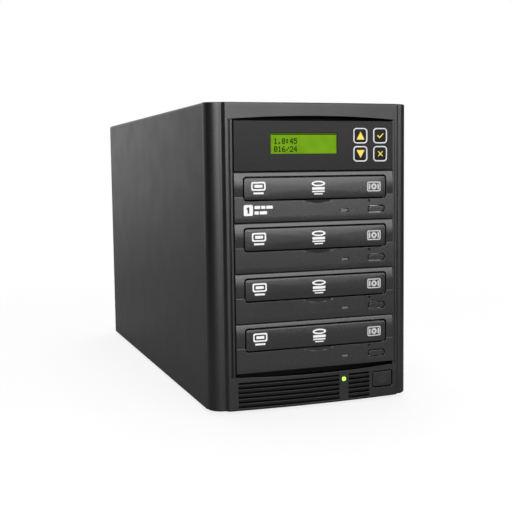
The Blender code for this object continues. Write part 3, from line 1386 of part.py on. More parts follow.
def make_mains_switch():
    """A dished rocker on a level pivot, at rest with its upper end pressed in."""
    x, z = rocker_centre()
    outline = (
        (-ROCKER_KEEL, -ROCKER_KEEL),
        (-ROCKER_SHOULDER, -ROCKER_HALF_HEIGHT),
        (ROCKER_FRONT, -ROCKER_HALF_HEIGHT),
        (ROCKER_FRONT - ROCKER_DISH, 0),
        (ROCKER_FRONT, ROCKER_HALF_HEIGHT),
        (-ROCKER_SHOULDER, ROCKER_HALF_HEIGHT),
        (-ROCKER_KEEL, ROCKER_KEEL),
    )
    pivot = (x, SUPPLY_REAR_Y - ROCKER_PIVOT_DEPTH, z)
    solid = prism(outline, "X", -ROCKER_HALF_WIDTH, ROCKER_HALF_WIDTH)
    solid.transform(Matrix.Translation(pivot) @ Matrix.Rotation(ROCKER_REST, 4, "X"))
    add_object("mains_switch", solid, "tray", pivot)


def main():
    for old in list(bpy.data.objects):
        bpy.data.objects.remove(old)
    make_front_bezel()
    make_power_button()
    make_power_light()
    make_wrap_cover()
    make_chassis_frame()
    make_bay_cages()
    make_feet()
    make_rear_panel()
    make_cover_screws()
    make_panel_fascia()
    make_display()
    make_keys()
    make_controller()
    make_drives()
    make_case_fan()
    make_power_supply()
    make_mains_inlet()
    make_mains_switch()


main()
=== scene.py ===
"""Looks for a four-drive disc duplicator tower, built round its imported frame. Metres, +Z up, front at -Y."""

import json
import math

import bmesh
import bpy
import numpy as np
from mathutils import Matrix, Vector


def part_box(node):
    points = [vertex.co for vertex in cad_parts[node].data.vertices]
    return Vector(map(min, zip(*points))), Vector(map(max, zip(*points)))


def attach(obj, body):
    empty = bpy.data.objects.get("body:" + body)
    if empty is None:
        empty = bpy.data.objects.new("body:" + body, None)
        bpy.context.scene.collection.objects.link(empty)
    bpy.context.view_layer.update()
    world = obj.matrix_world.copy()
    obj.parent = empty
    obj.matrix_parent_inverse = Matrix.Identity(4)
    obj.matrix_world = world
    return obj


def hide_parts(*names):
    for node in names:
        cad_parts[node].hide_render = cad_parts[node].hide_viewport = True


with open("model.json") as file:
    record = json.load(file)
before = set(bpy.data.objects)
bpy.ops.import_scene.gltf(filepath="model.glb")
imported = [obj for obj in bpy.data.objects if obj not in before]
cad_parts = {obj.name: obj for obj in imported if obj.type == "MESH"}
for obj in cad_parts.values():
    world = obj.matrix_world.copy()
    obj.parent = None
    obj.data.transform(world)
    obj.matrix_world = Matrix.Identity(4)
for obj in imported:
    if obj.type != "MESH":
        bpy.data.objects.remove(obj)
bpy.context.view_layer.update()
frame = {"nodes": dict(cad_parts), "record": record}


def corners_of(node):
    """A node's lowest and highest corner as arrays."""
    low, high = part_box(node)
    return np.array(low), np.array(high)


def middle_of(node):
    """The middle of a node's box, across and up."""
    low, high = corners_of(node)
    return (low[0] + high[0]) / 2, (low[2] + high[2]) / 2


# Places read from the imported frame
DRIVES = (1, 2, 3, 4)
KEYS = ("key_up", "key_down", "key_ok", "key_cancel")
BEZEL_LOW = corners_of("front_bezel")[0]
COVER_LOW, COVER_HIGH = corners_of("wrap_cover")
PLATE_LOW, PLATE_HIGH = corners_of("drive_4_faceplate")
PANEL_LOW, PANEL_HIGH = corners_of("panel_fascia")
SUPPLY_LOW, SUPPLY_HIGH = corners_of("power_supply_case")
REAR_Y = corners_of("rear_panel")[1][1]
FAN_MIDDLE = middle_of("case_fan_frame")
LIGHT_MIDDLE = middle_of("power_light")
FACE_Y = PLATE_LOW[1]
FACE_HALF = PLATE_HIGH[0]
FACE_HEIGHT = PLATE_HIGH[2] - PLATE_LOW[2]
FACE_THICKNESS = PLATE_HIGH[1] - PLATE_LOW[1]
BAY_BOTTOM = PLATE_LOW[2]
PANEL_BOTTOM = PANEL_LOW[2]
PANEL_TOP = PANEL_HIGH[2]
CASE_HALF = COVER_HIGH[0]
CASE_BOTTOM = COVER_LOW[2]
CASE_TOP = COVER_HIGH[2]
SEAM_Y = COVER_LOW[1]
BACK_Y = COVER_HIGH[1]
BAY_FLOORS = {number: corners_of(f"drive_{number}_faceplate")[0][2] for number in DRIVES}

# Gaps, walls and softened edges
FIT_GAP = 0.0003
SHEET = 0.0010
ON_THE_FLAT = 1.25
HAIR = 0.00002
WELD = 0.000002
SOFT = 0.00045
TINY_SOFT = 0.00025
PRINT = 0.00004

# Front bezel
BEZEL_DEPTH = SEAM_Y - FACE_Y
BEZEL_WALL = 0.0025
BEZEL_DRAFT = 0.0009
BEZEL_EDGE = 0.0012
CREST_BEHIND = 0.0036
BULGE_SAG = CREST_BEHIND + FACE_Y - BEZEL_LOW[1]
CORNER_RADIUS = 0.0150
CORNER_START = 0.0026
CORNER_SWEEP = math.radians(68)
TROUGH_RUN = 0.0018
TROUGH_SINK = 0.0002
RIM_GAP = 0.0007
RIM_WIDTH = 0.0019
RIM_BEHIND = 0.0018
RIM_WEB = 0.0016
RIM_WEB_BEHIND = 0.0046
GROOVE_WIDTH = 0.0012
CREST_RUN = 0.0014
OPENING_HALF = FACE_HALF + RIM_GAP + RIM_WIDTH + GROOVE_WIDTH
CREST_HALF = OPENING_HALF + CREST_RUN
TOP_LIP_GAP = 0.0012
TOP_LIP_ARCH = 0.0027
BOTTOM_LIP_GAP = 0.0035
BOTTOM_LIP_ARCH = 0.0017
LOUVRE_COUNT = 6
LOUVRE_TOP_MARGIN = 0.0092
LOUVRE_BOTTOM_MARGIN = 0.0038
LOUVRE_SLOT = 0.0015
LOUVRE_LAND = 0.0005
LOUVRE_SET_BACK = 0.0010
LOUVRE_LEFT_INSET = 0.0020
LOUVRE_RIGHT_INSET = 0.0230
POWER_RIB_WIDTH = 0.0090
POWER_LIGHT_RADIUS = 0.0016
POWER_DOME = 0.0008
BUTTON_GAP = 0.0007
BUTTON_EASE = 0.0002
BUTTON_SINK = 0.0002
BUTTON_RADIUS = 0.0012

# Cover
COVER_BEND = 0.0030
FLANGE_BEND = 0.0013
COVER_FLANGE = 0.0120

# Drive faceplate, door and controls
SLAB_TOP = 0.0220
SLAB_EDGE = 0.0007
BAND_SET_BACK = 0.0010
BAND_CROWN = 0.0009
BAND_TOP_ROUND = 0.0013
DOOR_GAP = 0.0006
DOOR_EASE = 0.0003
DOOR_RADIUS = 0.0022
DOOR_CROWN = 0.0005
SCOOP_WIDTH = 0.0270
SCOOP_DEPTH = 0.0030
SCOOP_RUN = 0.0024
SCOOP_OFFSET = 0.0015
SCOOP_FADE = 0.0030
EJECT_EASE = 0.0002
EJECT_SINK = 0.0003
PINHOLE_RADIUS = 0.0011
PINHOLE_INSET = 0.0234
PINHOLE_ABOVE = 0.0162

# Control panel
PANEL_EDGE = 0.0005
PANEL_THICKNESS = 0.0030
KEY_RING_WIDTH = 0.0012
KEY_RING_PROUD = 0.00035
KEY_RING_RADIUS = 0.0032

# Display: two rows of figures, each five by seven dots, whose rows of bits are given from the top
DISPLAY_ROWS = ("1.0:45", "016/24")
# Height of the dark bar painted across the pane's top as the shadow of the window's recess
DISPLAY_SHADE = 0.0013
DISPLAY_LEFT = 0.0028
DISPLAY_TOP = 0.0042
DOTS_ACROSS = 5
DOTS_UP = 7
FIGURE_DOTS = 6
ROW_DOTS = 10
DOT_CELLS = 3
DOT_PITCH = (0.00060, 0.00067)
FIGURES = {
    "0": (14, 17, 19, 21, 25, 17, 14), "1": (4, 12, 4, 4, 4, 4, 14), "2": (14, 17, 1, 2, 4, 8, 31),
    "4": (2, 6, 10, 18, 31, 2, 2), "5": (31, 16, 30, 1, 1, 17, 14), "6": (6, 8, 16, 30, 17, 17, 14),
    ".": (0, 0, 0, 0, 0, 12, 12), ":": (0, 12, 12, 0, 12, 12, 0), "/": (0, 1, 2, 4, 8, 16, 0),
}

# Printed marks, across and up from their own origin: corners and radii, or an outline's points
BAR_ROUND = 0.0004
RING_SWEEP = (0, 351)
POWER_MARKS = (
    ("hook", (0.0033, 0.0026), (125, 415)),
    ("tile", (-0.00035, 0.0008), (0.00035, 0.0037), 0.0003),
)
WHITE_DOOR_MARKS = (
    ("frame", (-0.0590, 0.0268), (-0.0462, 0.0342), 0.0016, 0.0013),
    ("bar", (-0.0562, 0.0293), (-0.0490, 0.0317)),
    ("bar", (-0.0572, 0.0238), (-0.0480, 0.0254)),
    ("ring", (0.0023, 0.0319), (0.0064, 0.0046), (0.36, 0.24)),
    ("bar", (-0.0036, 0.0266), (0.0082, 0.0288)),
    ("bar", (-0.0036, 0.0245), (0.0082, 0.0257)),
    ("bar", (-0.0018, 0.0225), (0.0064, 0.0235)),
)
GREY_DOOR_MARKS = (
    ("frame", (0.0488, 0.0241), (0.0620, 0.0327), 0.0014, 0.0010),
    ("ring", (0.0554, 0.0284), (0.0027, 0.0010), (1.0, 1.0)),
    ("bar", (0.0503, 0.0259), (0.0519, 0.0309)),
    ("bar", (0.0589, 0.0259), (0.0605, 0.0309)),
)
BADGE_MARKS = (
    ("tile", (-0.0660, 0.0058), (-0.0578, 0.0150), 0.0014),
    ("bar", (-0.0564, 0.0114), (-0.0512, 0.0140)),
    ("bar", (-0.0504, 0.0114), (-0.0466, 0.0140)),
    ("bar", (-0.0458, 0.0114), (-0.0400, 0.0140)),
    ("bar", (-0.0564, 0.0068), (-0.0526, 0.0094)),
    ("bar", (-0.0518, 0.0068), (-0.0452, 0.0094)),
)
BADGE_NUMBER = (
    ("outline", (-0.0626, 0.0078), (-0.0611, 0.0078), (-0.0611, 0.0130), (-0.0623, 0.0130),
     (-0.0636, 0.0119), (-0.0636, 0.0109), (-0.0626, 0.0113)),
)
KEY_SIGNS = {
    "key_up": ("outline", (-0.0038, -0.0033), (0.0038, -0.0033), (0, 0.0035)),
    "key_down": ("outline", (-0.0038, 0.0033), (0, -0.0035), (0.0038, 0.0033)),
    "key_ok": ("outline", (-0.0032, 0.0001), (-0.0024, 0.0008), (-0.0008, -0.0009), (0.0024, 0.0023),
               (0.0031, 0.0016), (-0.0008, -0.0024)),
    "key_cancel": ("outline", (0, 0.0006), (0.0018, 0.0024), (0.0024, 0.0018), (0.0006, 0),
                   (0.0024, -0.0018), (0.0018, -0.0024), (0, -0.0006), (-0.0018, -0.0024),
                   (-0.0024, -0.0018), (-0.0006, 0), (-0.0024, 0.0018), (-0.0018, 0.0024)),
}

# Rear
GUARD_FIRST = 0.0105
GUARD_PITCH = 0.0085
GUARD_RINGS = 4
GUARD_EYE = 0.0357
EYE_RADIUS = 0.0036
WIRE_RADIUS = 0.0009
SUPPLY_SCREW_INSET = 0.0062
SUPPLY_SCREW_RADIUS = 0.0030
SUPPLY_SCREW_HEIGHT = 0.0016
SCREW_SOFT = 0.6
# A screw's cross recess, drawn as painted shade: an arm's half width and its reach, as shares of the radius
CROSS_ARM = 0.16
CROSS_REACH = 0.58
THUMB_EDGE = 0.0004
THUMB_NECK = 0.0019
THUMB_CLEAR = 0.0002
THUMB_GRIP = 0.98
THUMB_RIPPLES = 36
THUMB_RIPPLE = 0.00012
# A thumbscrew's head: share of its radius, inset from there, and depth behind its face
THUMB_PROFILE = (
    (0, 0, 0.0009), (0.55, 0, 0.0009), (0.62, 0, THUMB_EDGE), (0.70, 0, 0), (1, THUMB_EDGE, 0),
    (1, 0, THUMB_EDGE), (1, 0, 0.0030), (1, THUMB_EDGE, 0.0034), (0.72, 0, 0.0036), (0.72, 0, 0.0046),
    (0.84, 0, 0.0048),
)

# Softened edges of the feet, and of the trays with their spindles
FOOT_SOFT = 0.0003
TRAY_SOFT = 0.0002

# Nodes that keep their form: finish, body, softened edge and, where it differs, the record's slot
KEPT_FORMS = {
    "power_supply_case": ("supply_steel", "root", 0.00015),
    "mains_inlet": ("inner_plastic", "root", 0.0003),
    "mains_switch": ("inner_plastic", "mains_switch", 0.0003),
    "case_fan_frame": ("fan_plastic", "root", 0.0003),
    "case_fan_rotor": ("fan_plastic", "case_fan_rotor", 0.00015),
    "power_supply_fan": ("fan_plastic", "power_supply_fan", 0.00015),
    "rear_panel": ("rear_steel", "root", 0.00015, "black_steel"),
}

# Counts and angles: lines and rows count the grid's own, steps and rings the parts between them
CORNER_LINES = 5
EDGE_LINES = 5
BEND_LINES = 6
SHOULDER_LINES = 11
MIDDLE_LINES = 65
BAND_LINES = 13
SCOOP_LINES = 41
SCOOP_ROWS = 11
FADE_LINES = 10
CORNER_STEPS = 28
EASE_STEPS = 16
LIP_ROWS = 4
OPENING_ROWS = 10
TOP_ROWS = 8
CAP_RINGS = 8
DOME_LINES = 9
SCREW_LINES = 7
SPOKE_LINES = 9
WIRE_SIDES = 12
ARC_STEPS = 40
QUARTER = math.pi / 2
SHARP_ANGLE = math.radians(38)
KNURL_ANGLE = math.radians(50)
BEVEL_ANGLE = math.radians(40)
FLAT_ANGLE = math.radians(0.5)
RING_STEPS = 64
WIRE_STEPS = 96
THUMB_STEPS = 144
SCREW_STEPS = 32

# Camera and studio
CAMERA_PLACE = (-0.311, FACE_Y - 0.726, BAY_BOTTOM + 0.174)
CAMERA_TURN = (19.38, -5.44, -0.75)
SENSOR_WIDTH = 36.0
LENS = 64.2
FRONT_TARGET = (0, -0.10, 0.16)
LIGHTS = (
    ("key_light", (-0.80, -1.42, 0.70), FRONT_TARGET, (1.2, 1.0), 18),
    ("front_light", (0.25, -1.62, 0.68), FRONT_TARGET, (1.5, 1.0), 15),
    ("right_light", (1.25, -0.95, 0.60), FRONT_TARGET, (0.4, 1.0), 6),
    ("rear_light", (1.10, 1.50, 1.00), (0, 0.2, 0.12), (1.2, 1.0), 10),
    ("top_light", (0.0, 0.3, 1.6), (0, 0.301, 0), (1.0, 1.0), 20),
)
ROOM_COLOUR = (0.04, 0.04, 0.04, 1)
BACKDROP_START = (0.55, 0.92)
BACKDROP_FOOT = (-0.15, 0.05)
FLOOR_COLOUR = (0.88, 0.88, 0.88, 1)
FLOOR_ROUGHNESS = 0.9
FLOOR_SPECULAR = 0.1
FLOOR_ALPHA = 0.18
FLOOR_SOLID = 0.30
FLOOR_RADIUS = 0.90


# Materials


def grey(level, blue=0.0):
    """A grey with a trace more blue."""
    return level, level, level + blue


# A finish: its colour and roughness, and what differs from a plain moulded surface
FINISHES = {
    "bezel_plastic": dict(colour=grey(0.0038, 0.0003), roughness=0.40, specular=0.84, mottle=0.35,
                          depth=0.00010, grain=0.0011),
    "case_paint": dict(colour=grey(0.029, 0.0005), roughness=0.43, specular=0.52, mottle=0.35,
                       grain=0.0012, depth=0.00018),
    "black_steel": dict(colour=grey(0.006, 0.0005), roughness=0.45, specular=0.12, grain=0.0008),
    "rear_steel": dict(colour=grey(0.016, 0.0005), roughness=0.45, specular=0.35, grain=0.0008,
                       depth=0.00006),
    "panel_plastic": dict(colour=grey(0.011, 0.0008), roughness=0.30, specular=0.20),
    "faceplate_plastic": dict(colour=grey(0.021, 0.0006), roughness=0.27, specular=0.85, mottle=0.25,
                              depth=0.00007),
    "door_plastic": dict(colour=grey(0.019, 0.0004), roughness=0.27, specular=0.80, mottle=0.35,
                         depth=0.00008),
    "button_plastic": dict(colour=grey(0.021, 0.0006), roughness=0.27, specular=0.8),
    "key_plastic": dict(colour=grey(0.005, 0.0005), roughness=0.30, specular=0.15, depth=0.00001),
    "ring_paint": dict(colour=grey(0.62, 0.01), roughness=0.35, depth=0.00001, mottle=0.03),
    "tray_plastic": dict(colour=grey(0.013, 0.0005), roughness=0.45, specular=0.28),
    "inner_plastic": dict(colour=grey(0.006, 0.0005), roughness=0.55, specular=0.12),
    "fan_plastic": dict(colour=grey(0.012, 0.001), roughness=0.42, specular=0.4),
    "plated_steel": dict(colour=(0.56, 0.57, 0.58), roughness=0.36, metallic=1.0, grain=0.0020, mottle=0.08),
    "supply_steel": dict(colour=(0.50, 0.51, 0.52), roughness=0.40, metallic=1.0, stretch=(1, 1, 14)),
    "screw_steel": dict(colour=(0.60, 0.61, 0.62), roughness=0.30, metallic=1.0, depth=0.00001),
    "guard_wire": dict(colour=(0.72, 0.73, 0.75), roughness=0.18, metallic=1.0, depth=0.00001, mottle=0.04),
    "foot_rubber": dict(colour=grey(0.012), roughness=0.80, specular=0.25, grain=0.0005),
    "circuit_board": dict(colour=(0.003, 0.022, 0.009), roughness=0.42, grain=0.0016, mottle=0.35,
                          depth=0.00002),
    "drive_light_lens": dict(colour=grey(0.14), roughness=0.25, depth=0.00001, mottle=0.05),
}
# An ink, or a dark colour that also serves as painted shade: its colour, roughness and specular
INKS = {
    # Also the painted shade in the screws' cross recesses
    "black_ink": (grey(0.012), 0.5, 0.5),
    "white_ink": (grey(0.78, 0.01), 0.5, 0.5),
    "grey_ink": (grey(0.48, 0.01), 0.5, 0.5),
    "faint_ink": (grey(0.035, 0.001), 0.5, 0.5),
    "yellow_ink": ((0.82, 0.60, 0.08), 0.45, 0.5),
    # Also the painted shadow bar at the display's top edge
    "dark_ink": ((0.010, 0.022, 0.001), 0.6, 0.05),
}
# A lit pane or lens: its colour, its glow and the glow's strength, roughness and specular
LIT = {
    "display_green": ((0.10, 0.21, 0.002), (0.13, 0.30, 0.003), 0.35, 0.5, 0.08),
    "power_light_lens": ((0.35, 0.75, 0.05), (0.45, 1.0, 0.08), 0.8, 0.22, 0.5),
}
PATCHES = 0.030
CLOUDS = 1 / 60
NOISE_SPAN = (0.3, 0.7)
CLOUD_SHARES = (0.8, 1.15)
GLOSS_SWING = 0.12
INK_DEPTH = 0.000005
INK_MOTTLE = 0.05
MATERIALS = {}


def fill(node, **values):
    """Gives a node its values: a setting, a number for a socket, or an output to link to one."""
    for key, value in values.items():
        if key not in node.inputs:
            setattr(node, key, value)
        elif isinstance(value, bpy.types.NodeSocket):
            node.id_data.links.new(value, node.inputs[key])
        else:
            node.inputs[key].default_value = value
    return node


def add_node(tree, kind, **values):
    """A new node of a tree with its values."""
    return fill(tree.nodes.new("ShaderNode" + kind), **values)


def ranged(tree, value, taken, given, **values):
    """One range of numbers mapped onto another."""
    span = {"From Min": taken[0], "From Max": taken[1], "To Min": given[0], "To Max": given[1]}
    return add_node(tree, "MapRange", Value=value, **span, **values).outputs["Result"]


def noise(tree, place, size, detail, **values):
    """A cloudy noise whose lumps are about one size."""
    return add_node(tree, "TexNoise", Vector=place, Scale=1 / size, Detail=detail, **values).outputs["Fac"]


def new_material(name):
    """A fresh material, its tree and its shader."""
    made = bpy.data.materials.new(name)
    made.use_nodes = True
    return made, made.node_tree, made.node_tree.nodes["Principled BSDF"]


def grained(name, colour, roughness, metallic=0.0, specular=0.5, grain=0.0007, depth=0.00003, mottle=0.10,
            stretch=(1, 1, 1)):
    """Moulded, painted or brushed stuff: a fine grain in bump and colour, and wide patches in the gloss."""
    made, tree, shader = new_material(name)
    place = add_node(tree, "TexCoord").outputs["Object"]
    turned = add_node(tree, "Mapping", Scale=stretch, Vector=place).outputs["Vector"]
    fine = noise(tree, turned, grain, 3.0, Roughness=0.6)
    wide = noise(tree, place, PATCHES, 2.0)
    tint = add_node(tree, "Mix", data_type="RGBA", blend_type="MULTIPLY", Factor=1.0)
    base, tone = [socket for socket in tint.inputs if socket.type == "RGBA"]
    base.default_value = (*colour, 1)
    tree.links.new(ranged(tree, fine, NOISE_SPAN, (1 - mottle, 1 + mottle)), tone)
    gloss = ranged(tree, wide, (0, 1), (roughness * (1 - GLOSS_SWING), min(1, roughness * (1 + GLOSS_SWING))))
    bump = add_node(tree, "Bump", Strength=1.0, Distance=depth, Height=fine).outputs["Normal"]
    tinted = next(socket for socket in tint.outputs if socket.type == "RGBA")
    fill(shader, **{"Base Color": tinted, "Specular IOR Level": specular}, Roughness=gloss, Normal=bump,
         Metallic=metallic)
    return made


def lit_glass(name, colour, glow, strength, roughness, specular):
    """A back-lit pane or lens: soft clouds of brightness under a glossy skin."""
    made, tree, shader = new_material(name)
    place = add_node(tree, "TexCoord").outputs["Object"]
    ramp = add_node(tree, "ValToRGB", Fac=noise(tree, place, CLOUDS, 1.0))
    for stop, position, share in zip(ramp.color_ramp.elements, NOISE_SPAN, CLOUD_SHARES):
        stop.position = position
        stop.color = (*[share * part for part in colour], 1)
    fill(shader, **{"Base Color": ramp.outputs["Color"], "Emission Color": (*glow, 1), "Roughness": roughness,
                    "Emission Strength": strength, "Specular IOR Level": specular})
    return made


def make_materials():
    """One material for each finish, ink and lit pane; two of the inks also serve as painted shade."""
    for name, values in FINISHES.items():
        MATERIALS[name] = grained(name, **values)
    for name, (colour, roughness, specular) in INKS.items():
        MATERIALS[name] = grained(name, colour, roughness, specular=specular, depth=INK_DEPTH,
                                  mottle=INK_MOTTLE)
    for name, values in LIT.items():
        MATERIALS[name] = lit_glass(name, *values)


# Surfaces


def lines(*groups):
    """Grid lines in rising order, without near doubles."""
    return np.unique(np.round(np.concatenate([np.ravel(group) for group in groups]), 6))


def quarter(steps):
    """Equal angles over a quarter turn."""
    return np.linspace(0, QUARTER, steps)


def shares(count):
    """Equal shares, from the first to the whole."""
    return np.linspace(0, 1, count + 1)[1:]


def circle(steps):
    """Equal angles round a full turn, without its end."""
    return np.arange(steps) * 4 * QUARTER / steps


def edge_roll(distance, radius):
    """How far a softened edge falls away, as a quarter circle of that radius measured from the edge."""
    inside = np.clip(radius - distance, 0, radius)
    return radius - np.sqrt(radius**2 - inside**2)


def roll_steps(radius):
    """Distances from an edge at which its quarter circle turns by equal angles, after one on the flat."""
    return radius * np.append(ON_THE_FLAT, 1 - np.sin(quarter(EDGE_LINES)))


def span_lines(holes, axis):
    """Lines across round-cornered holes: fine within their corners and just outside their softened edges."""
    corner = np.tan(quarter(2 * CORNER_LINES - 1)[:CORNER_LINES])
    roll = roll_steps(TINY_SOFT)
    groups = [(low[axis] - roll, low[axis] + radius - radius * corner, high[axis] - radius + radius * corner,
               high[axis] + roll) for low, high, radius in holes]
    return lines(*[line for group in groups for line in group])


def box_distance(x, z, low, high, radius):
    """Distance outside a round-cornered rectangle, negative inside it."""
    across = np.abs(x - (low[0] + high[0]) / 2) - (high[0] - low[0]) / 2 + radius
    up = np.abs(z - (low[1] + high[1]) / 2) - (high[1] - low[1]) / 2 + radius
    return np.hypot(np.maximum(across, 0), np.maximum(up, 0)) + np.minimum(np.maximum(across, up), 0) - radius


def pulled_to_corners(x, z, low, high, radius, reach):
    """Square rings of grid points round each corner are drawn onto circles, fading out over a reach."""
    middle = ((low[0] + high[0]) / 2, (low[1] + high[1]) / 2)
    straight = ((high[0] - low[0]) / 2 - radius, (high[1] - low[1]) / 2 - radius)
    across = np.abs(x - middle[0]) - straight[0]
    up = np.abs(z - middle[1]) - straight[1]
    corner = (across > 0) & (up > 0)
    square = np.maximum(across, up)
    fade = np.clip(1 - (square - radius) / reach, 0, 1)
    scale = 1 + fade * (square / np.where(corner, np.hypot(across, up), 1) - 1)
    moved_x = middle[0] + np.sign(x - middle[0]) * (straight[0] + across * scale)
    moved_z = middle[1] + np.sign(z - middle[1]) * (straight[1] + up * scale)
    return np.where(corner, moved_x, x), np.where(corner, moved_z, z)


def in_cells(x_lines, z_lines, low, high):
    """True for each grid cell whose middle is inside a rectangle."""
    x = (x_lines[1:] + x_lines[:-1]) / 2
    z = (z_lines[1:] + z_lines[:-1]) / 2
    return ((z > low[1]) & (z < high[1]))[:, None] & ((x > low[0]) & (x < high[0]))[None]


def shell_faces(keep):
    """Quads of two skins over one grid and of the walls between them, where kept cells end."""
    rows, columns = keep.shape[0] + 1, keep.shape[1] + 1
    index = np.arange(rows * columns).reshape(rows, columns)
    back = index + rows * columns
    corner = [index[:-1, :-1], index[:-1, 1:], index[1:, 1:], index[1:, :-1]]
    behind = [back[:-1, :-1], back[:-1, 1:], back[1:, 1:], back[1:, :-1]]
    faces = [np.stack([part[keep] for part in corner], axis=1)]
    faces.append(np.stack([part[keep] for part in behind[::-1]], axis=1))
    padded = np.pad(keep, 1)
    neighbours = (padded[:-2, 1:-1], padded[1:-1, 2:], padded[2:, 1:-1], padded[1:-1, :-2])
    for side, neighbour in enumerate(neighbours):
        edge = keep & ~neighbour
        after = (side + 1) % 4
        parts = (corner[after], corner[side], behind[side], behind[after])
        faces.append(np.stack([part[edge] for part in parts], axis=1))
    return np.concatenate(faces)


def shell_mesh(name, skins, keep):
    """A solid between two skins given as x, y and z grids."""
    points = [np.stack(np.broadcast_arrays(*skin), axis=-1).reshape(-1, 3) for skin in skins]
    return mesh_of(name, np.concatenate(points), shell_faces(keep))


def band_faces(rows, columns):
    """Quads between neighbouring rows of a grid whose columns close into a ring."""
    index = np.arange(rows * columns).reshape(rows, columns)
    after = np.roll(index, -1, axis=1)
    return np.stack([index[:-1], after[:-1], after[1:], index[1:]], axis=-1).reshape(-1, 4)


def closed_band(name, rings):
    """A solid skinned over rings of equal count, with a flat end on the first and the last."""
    count = len(rings[0])
    last = (len(rings) - 1) * count
    faces = list(band_faces(len(rings), count))
    faces += [tuple(range(count))[::-1], tuple(range(last, last + count))]
    return mesh_of(name, np.concatenate(rings), faces)


def signed_volume(points, faces):
    """Six times the volume inside faces given as lists of points."""
    total = 0.0
    for face in faces:
        corner = points[list(face)]
        first = corner[:1].repeat(len(face) - 2, 0)
        total += np.einsum("ij,ij->i", np.cross(corner[1:-1], corner[2:]), first).sum()
    return total


def mesh_of(name, points, faces):
    """A welded mesh with its faces outwards, its unused points gone."""
    points = np.asarray(points, float).reshape(-1, 3)
    faces = [tuple(int(i) for i in face) for face in faces]
    if signed_volume(points, faces) < 0:
        faces = [face[::-1] for face in faces]
    mesh = bpy.data.meshes.new(name)
    mesh.from_pydata(points.tolist(), [], faces)
    solid = bmesh.new()
    solid.from_mesh(mesh)
    bmesh.ops.remove_doubles(solid, verts=solid.verts, dist=WELD)
    bmesh.ops.dissolve_degenerate(solid, edges=solid.edges, dist=WELD / 2)
    loose = [vert for vert in solid.verts if not vert.link_faces]
    bmesh.ops.delete(solid, geom=loose, context="VERTS")
    solid.to_mesh(mesh)
    solid.free()
    return mesh


def add_piece(name, mesh, material, body, replaces=(), angle=SHARP_ANGLE):
    """A finished piece: smooth but for its sharp edges, in its material, riding on its body."""
    mesh.shade_smooth()
    mesh.set_sharp_from_angle(angle=angle)
    mesh.materials.clear()
    mesh.materials.append(MATERIALS[material])
    piece = bpy.data.objects.new(name, mesh)
    bpy.context.scene.collection.objects.link(piece)
    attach(piece, body)
    if replaces:
        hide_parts(*replaces)
    return piece


def rounded_outline(low, high, radius, steps=8):
    """Points round a rectangle whose corners are quarter circles."""
    turn = quarter(steps + 1)
    centres = ((high[0] - radius, low[1] + radius, -1), (high[0] - radius, high[1] - radius, 0),
               (low[0] + radius, high[1] - radius, 1), (low[0] + radius, low[1] + radius, 2))
    parts = [(x + radius * np.cos(turn + q * QUARTER), z + radius * np.sin(turn + q * QUARTER))
             for x, z, q in centres]
    return np.concatenate([np.stack(part, axis=1) for part in parts])


def inset_outline(low, high, radius, inset):
    """A rounded rectangle's outline moved inwards by an even inset."""
    return rounded_outline((low[0] + inset, low[1] + inset), (high[0] - inset, high[1] - inset),
                           radius - inset)


def upright(outline, y):
    """An outline stood up at a depth."""
    return np.column_stack([outline[:, 0], y + 0 * outline[:, 0], outline[:, 1]])


def flat(x, z):
    """A surface with no fall."""
    return 0 * x


def crowned(low, high, crown):
    """A surface that falls from its mid height to its upper and lower ends by a parabola."""
    middle = (low + high) / 2
    half = (high - low) / 2
    return lambda x, z: crown * ((z - middle) / half) ** 2


def add_cap(name, node, material, body, radius, soft, front=None, ease=0.0, fall=flat):
    """A plate facing -Y in a node's place, inside its box by an ease: outline rings shrink over the softened
    edge, then scale to the middle, and all but the back is set back by the fall at its place."""
    low, high = corners_of(node)
    back = high[1]
    front = low[1] if front is None else front
    low, high = (low[0] + ease, low[2] + ease), (high[0] - ease, high[2] - ease)
    middle = np.array([(low[0] + high[0]) / 2, (low[1] + high[1]) / 2])
    rings = [(rounded_outline(low, high, radius), back)]
    for step in quarter(EDGE_LINES):
        rings.append((inset_outline(low, high, radius, soft * (1 - np.cos(step))),
                      front + soft * (1 - np.sin(step))))
    face = rings[-1][0]
    for share in 1 - shares(CAP_RINGS):
        rings.append((middle + (face - middle) * share, front))
    points = [upright(outline, depth + fall(*outline.T) * (depth < back)) for outline, depth in rings]
    faces = list(band_faces(len(points), len(face))) + [tuple(range(len(face)))[::-1]]
    mesh = mesh_of(name, np.concatenate(points), faces)
    return add_piece(name, mesh, material, body, replaces=[node])


def turned_mesh(name, profile, centre, steps=RING_STEPS):
    """Radius and depth pairs spun round an axis along Y through a centre, from axis to axis."""
    profile = np.asarray(profile, float)
    angle = circle(steps)
    x, z = (profile[:, :1] * part for part in (np.cos(angle), np.sin(angle)))
    points = np.stack(np.broadcast_arrays(x, profile[:, 1:], z), axis=-1) + np.array(centre)
    return mesh_of(name, points, band_faces(len(profile), steps))


def tube_mesh(path, radius, closed):
    """A round wire: a circle carried along a path, square to it, about a fixed side vector."""
    path = np.asarray(path, float)
    ahead = np.roll(path, -1, 0) - np.roll(path, 1, 0)
    if not closed:
        ahead[0], ahead[-1] = path[1] - path[0], path[-1] - path[-2]
    ahead /= np.linalg.norm(ahead, axis=1)[:, None]
    side = np.array([0.0, 1.0, 0.0]) - ahead * ahead[:, 1:2]
    side /= np.linalg.norm(side, axis=1)[:, None]
    up = np.cross(ahead, side)
    angle = circle(WIRE_SIDES)[None, :, None]
    points = path[:, None] + radius * (np.cos(angle) * side[:, None] + np.sin(angle) * up[:, None])
    if not closed:
        return closed_band("wire", points)
    points = np.concatenate([points, points[:1]])
    return mesh_of("wire", points, band_faces(len(points), WIRE_SIDES))


def joined(name, meshes):
    """Several meshes as one."""
    whole = bmesh.new()
    for mesh in meshes:
        whole.from_mesh(mesh)
        bpy.data.meshes.remove(mesh)
    made = bpy.data.meshes.new(name)
    whole.to_mesh(made)
    whole.free()
    return made


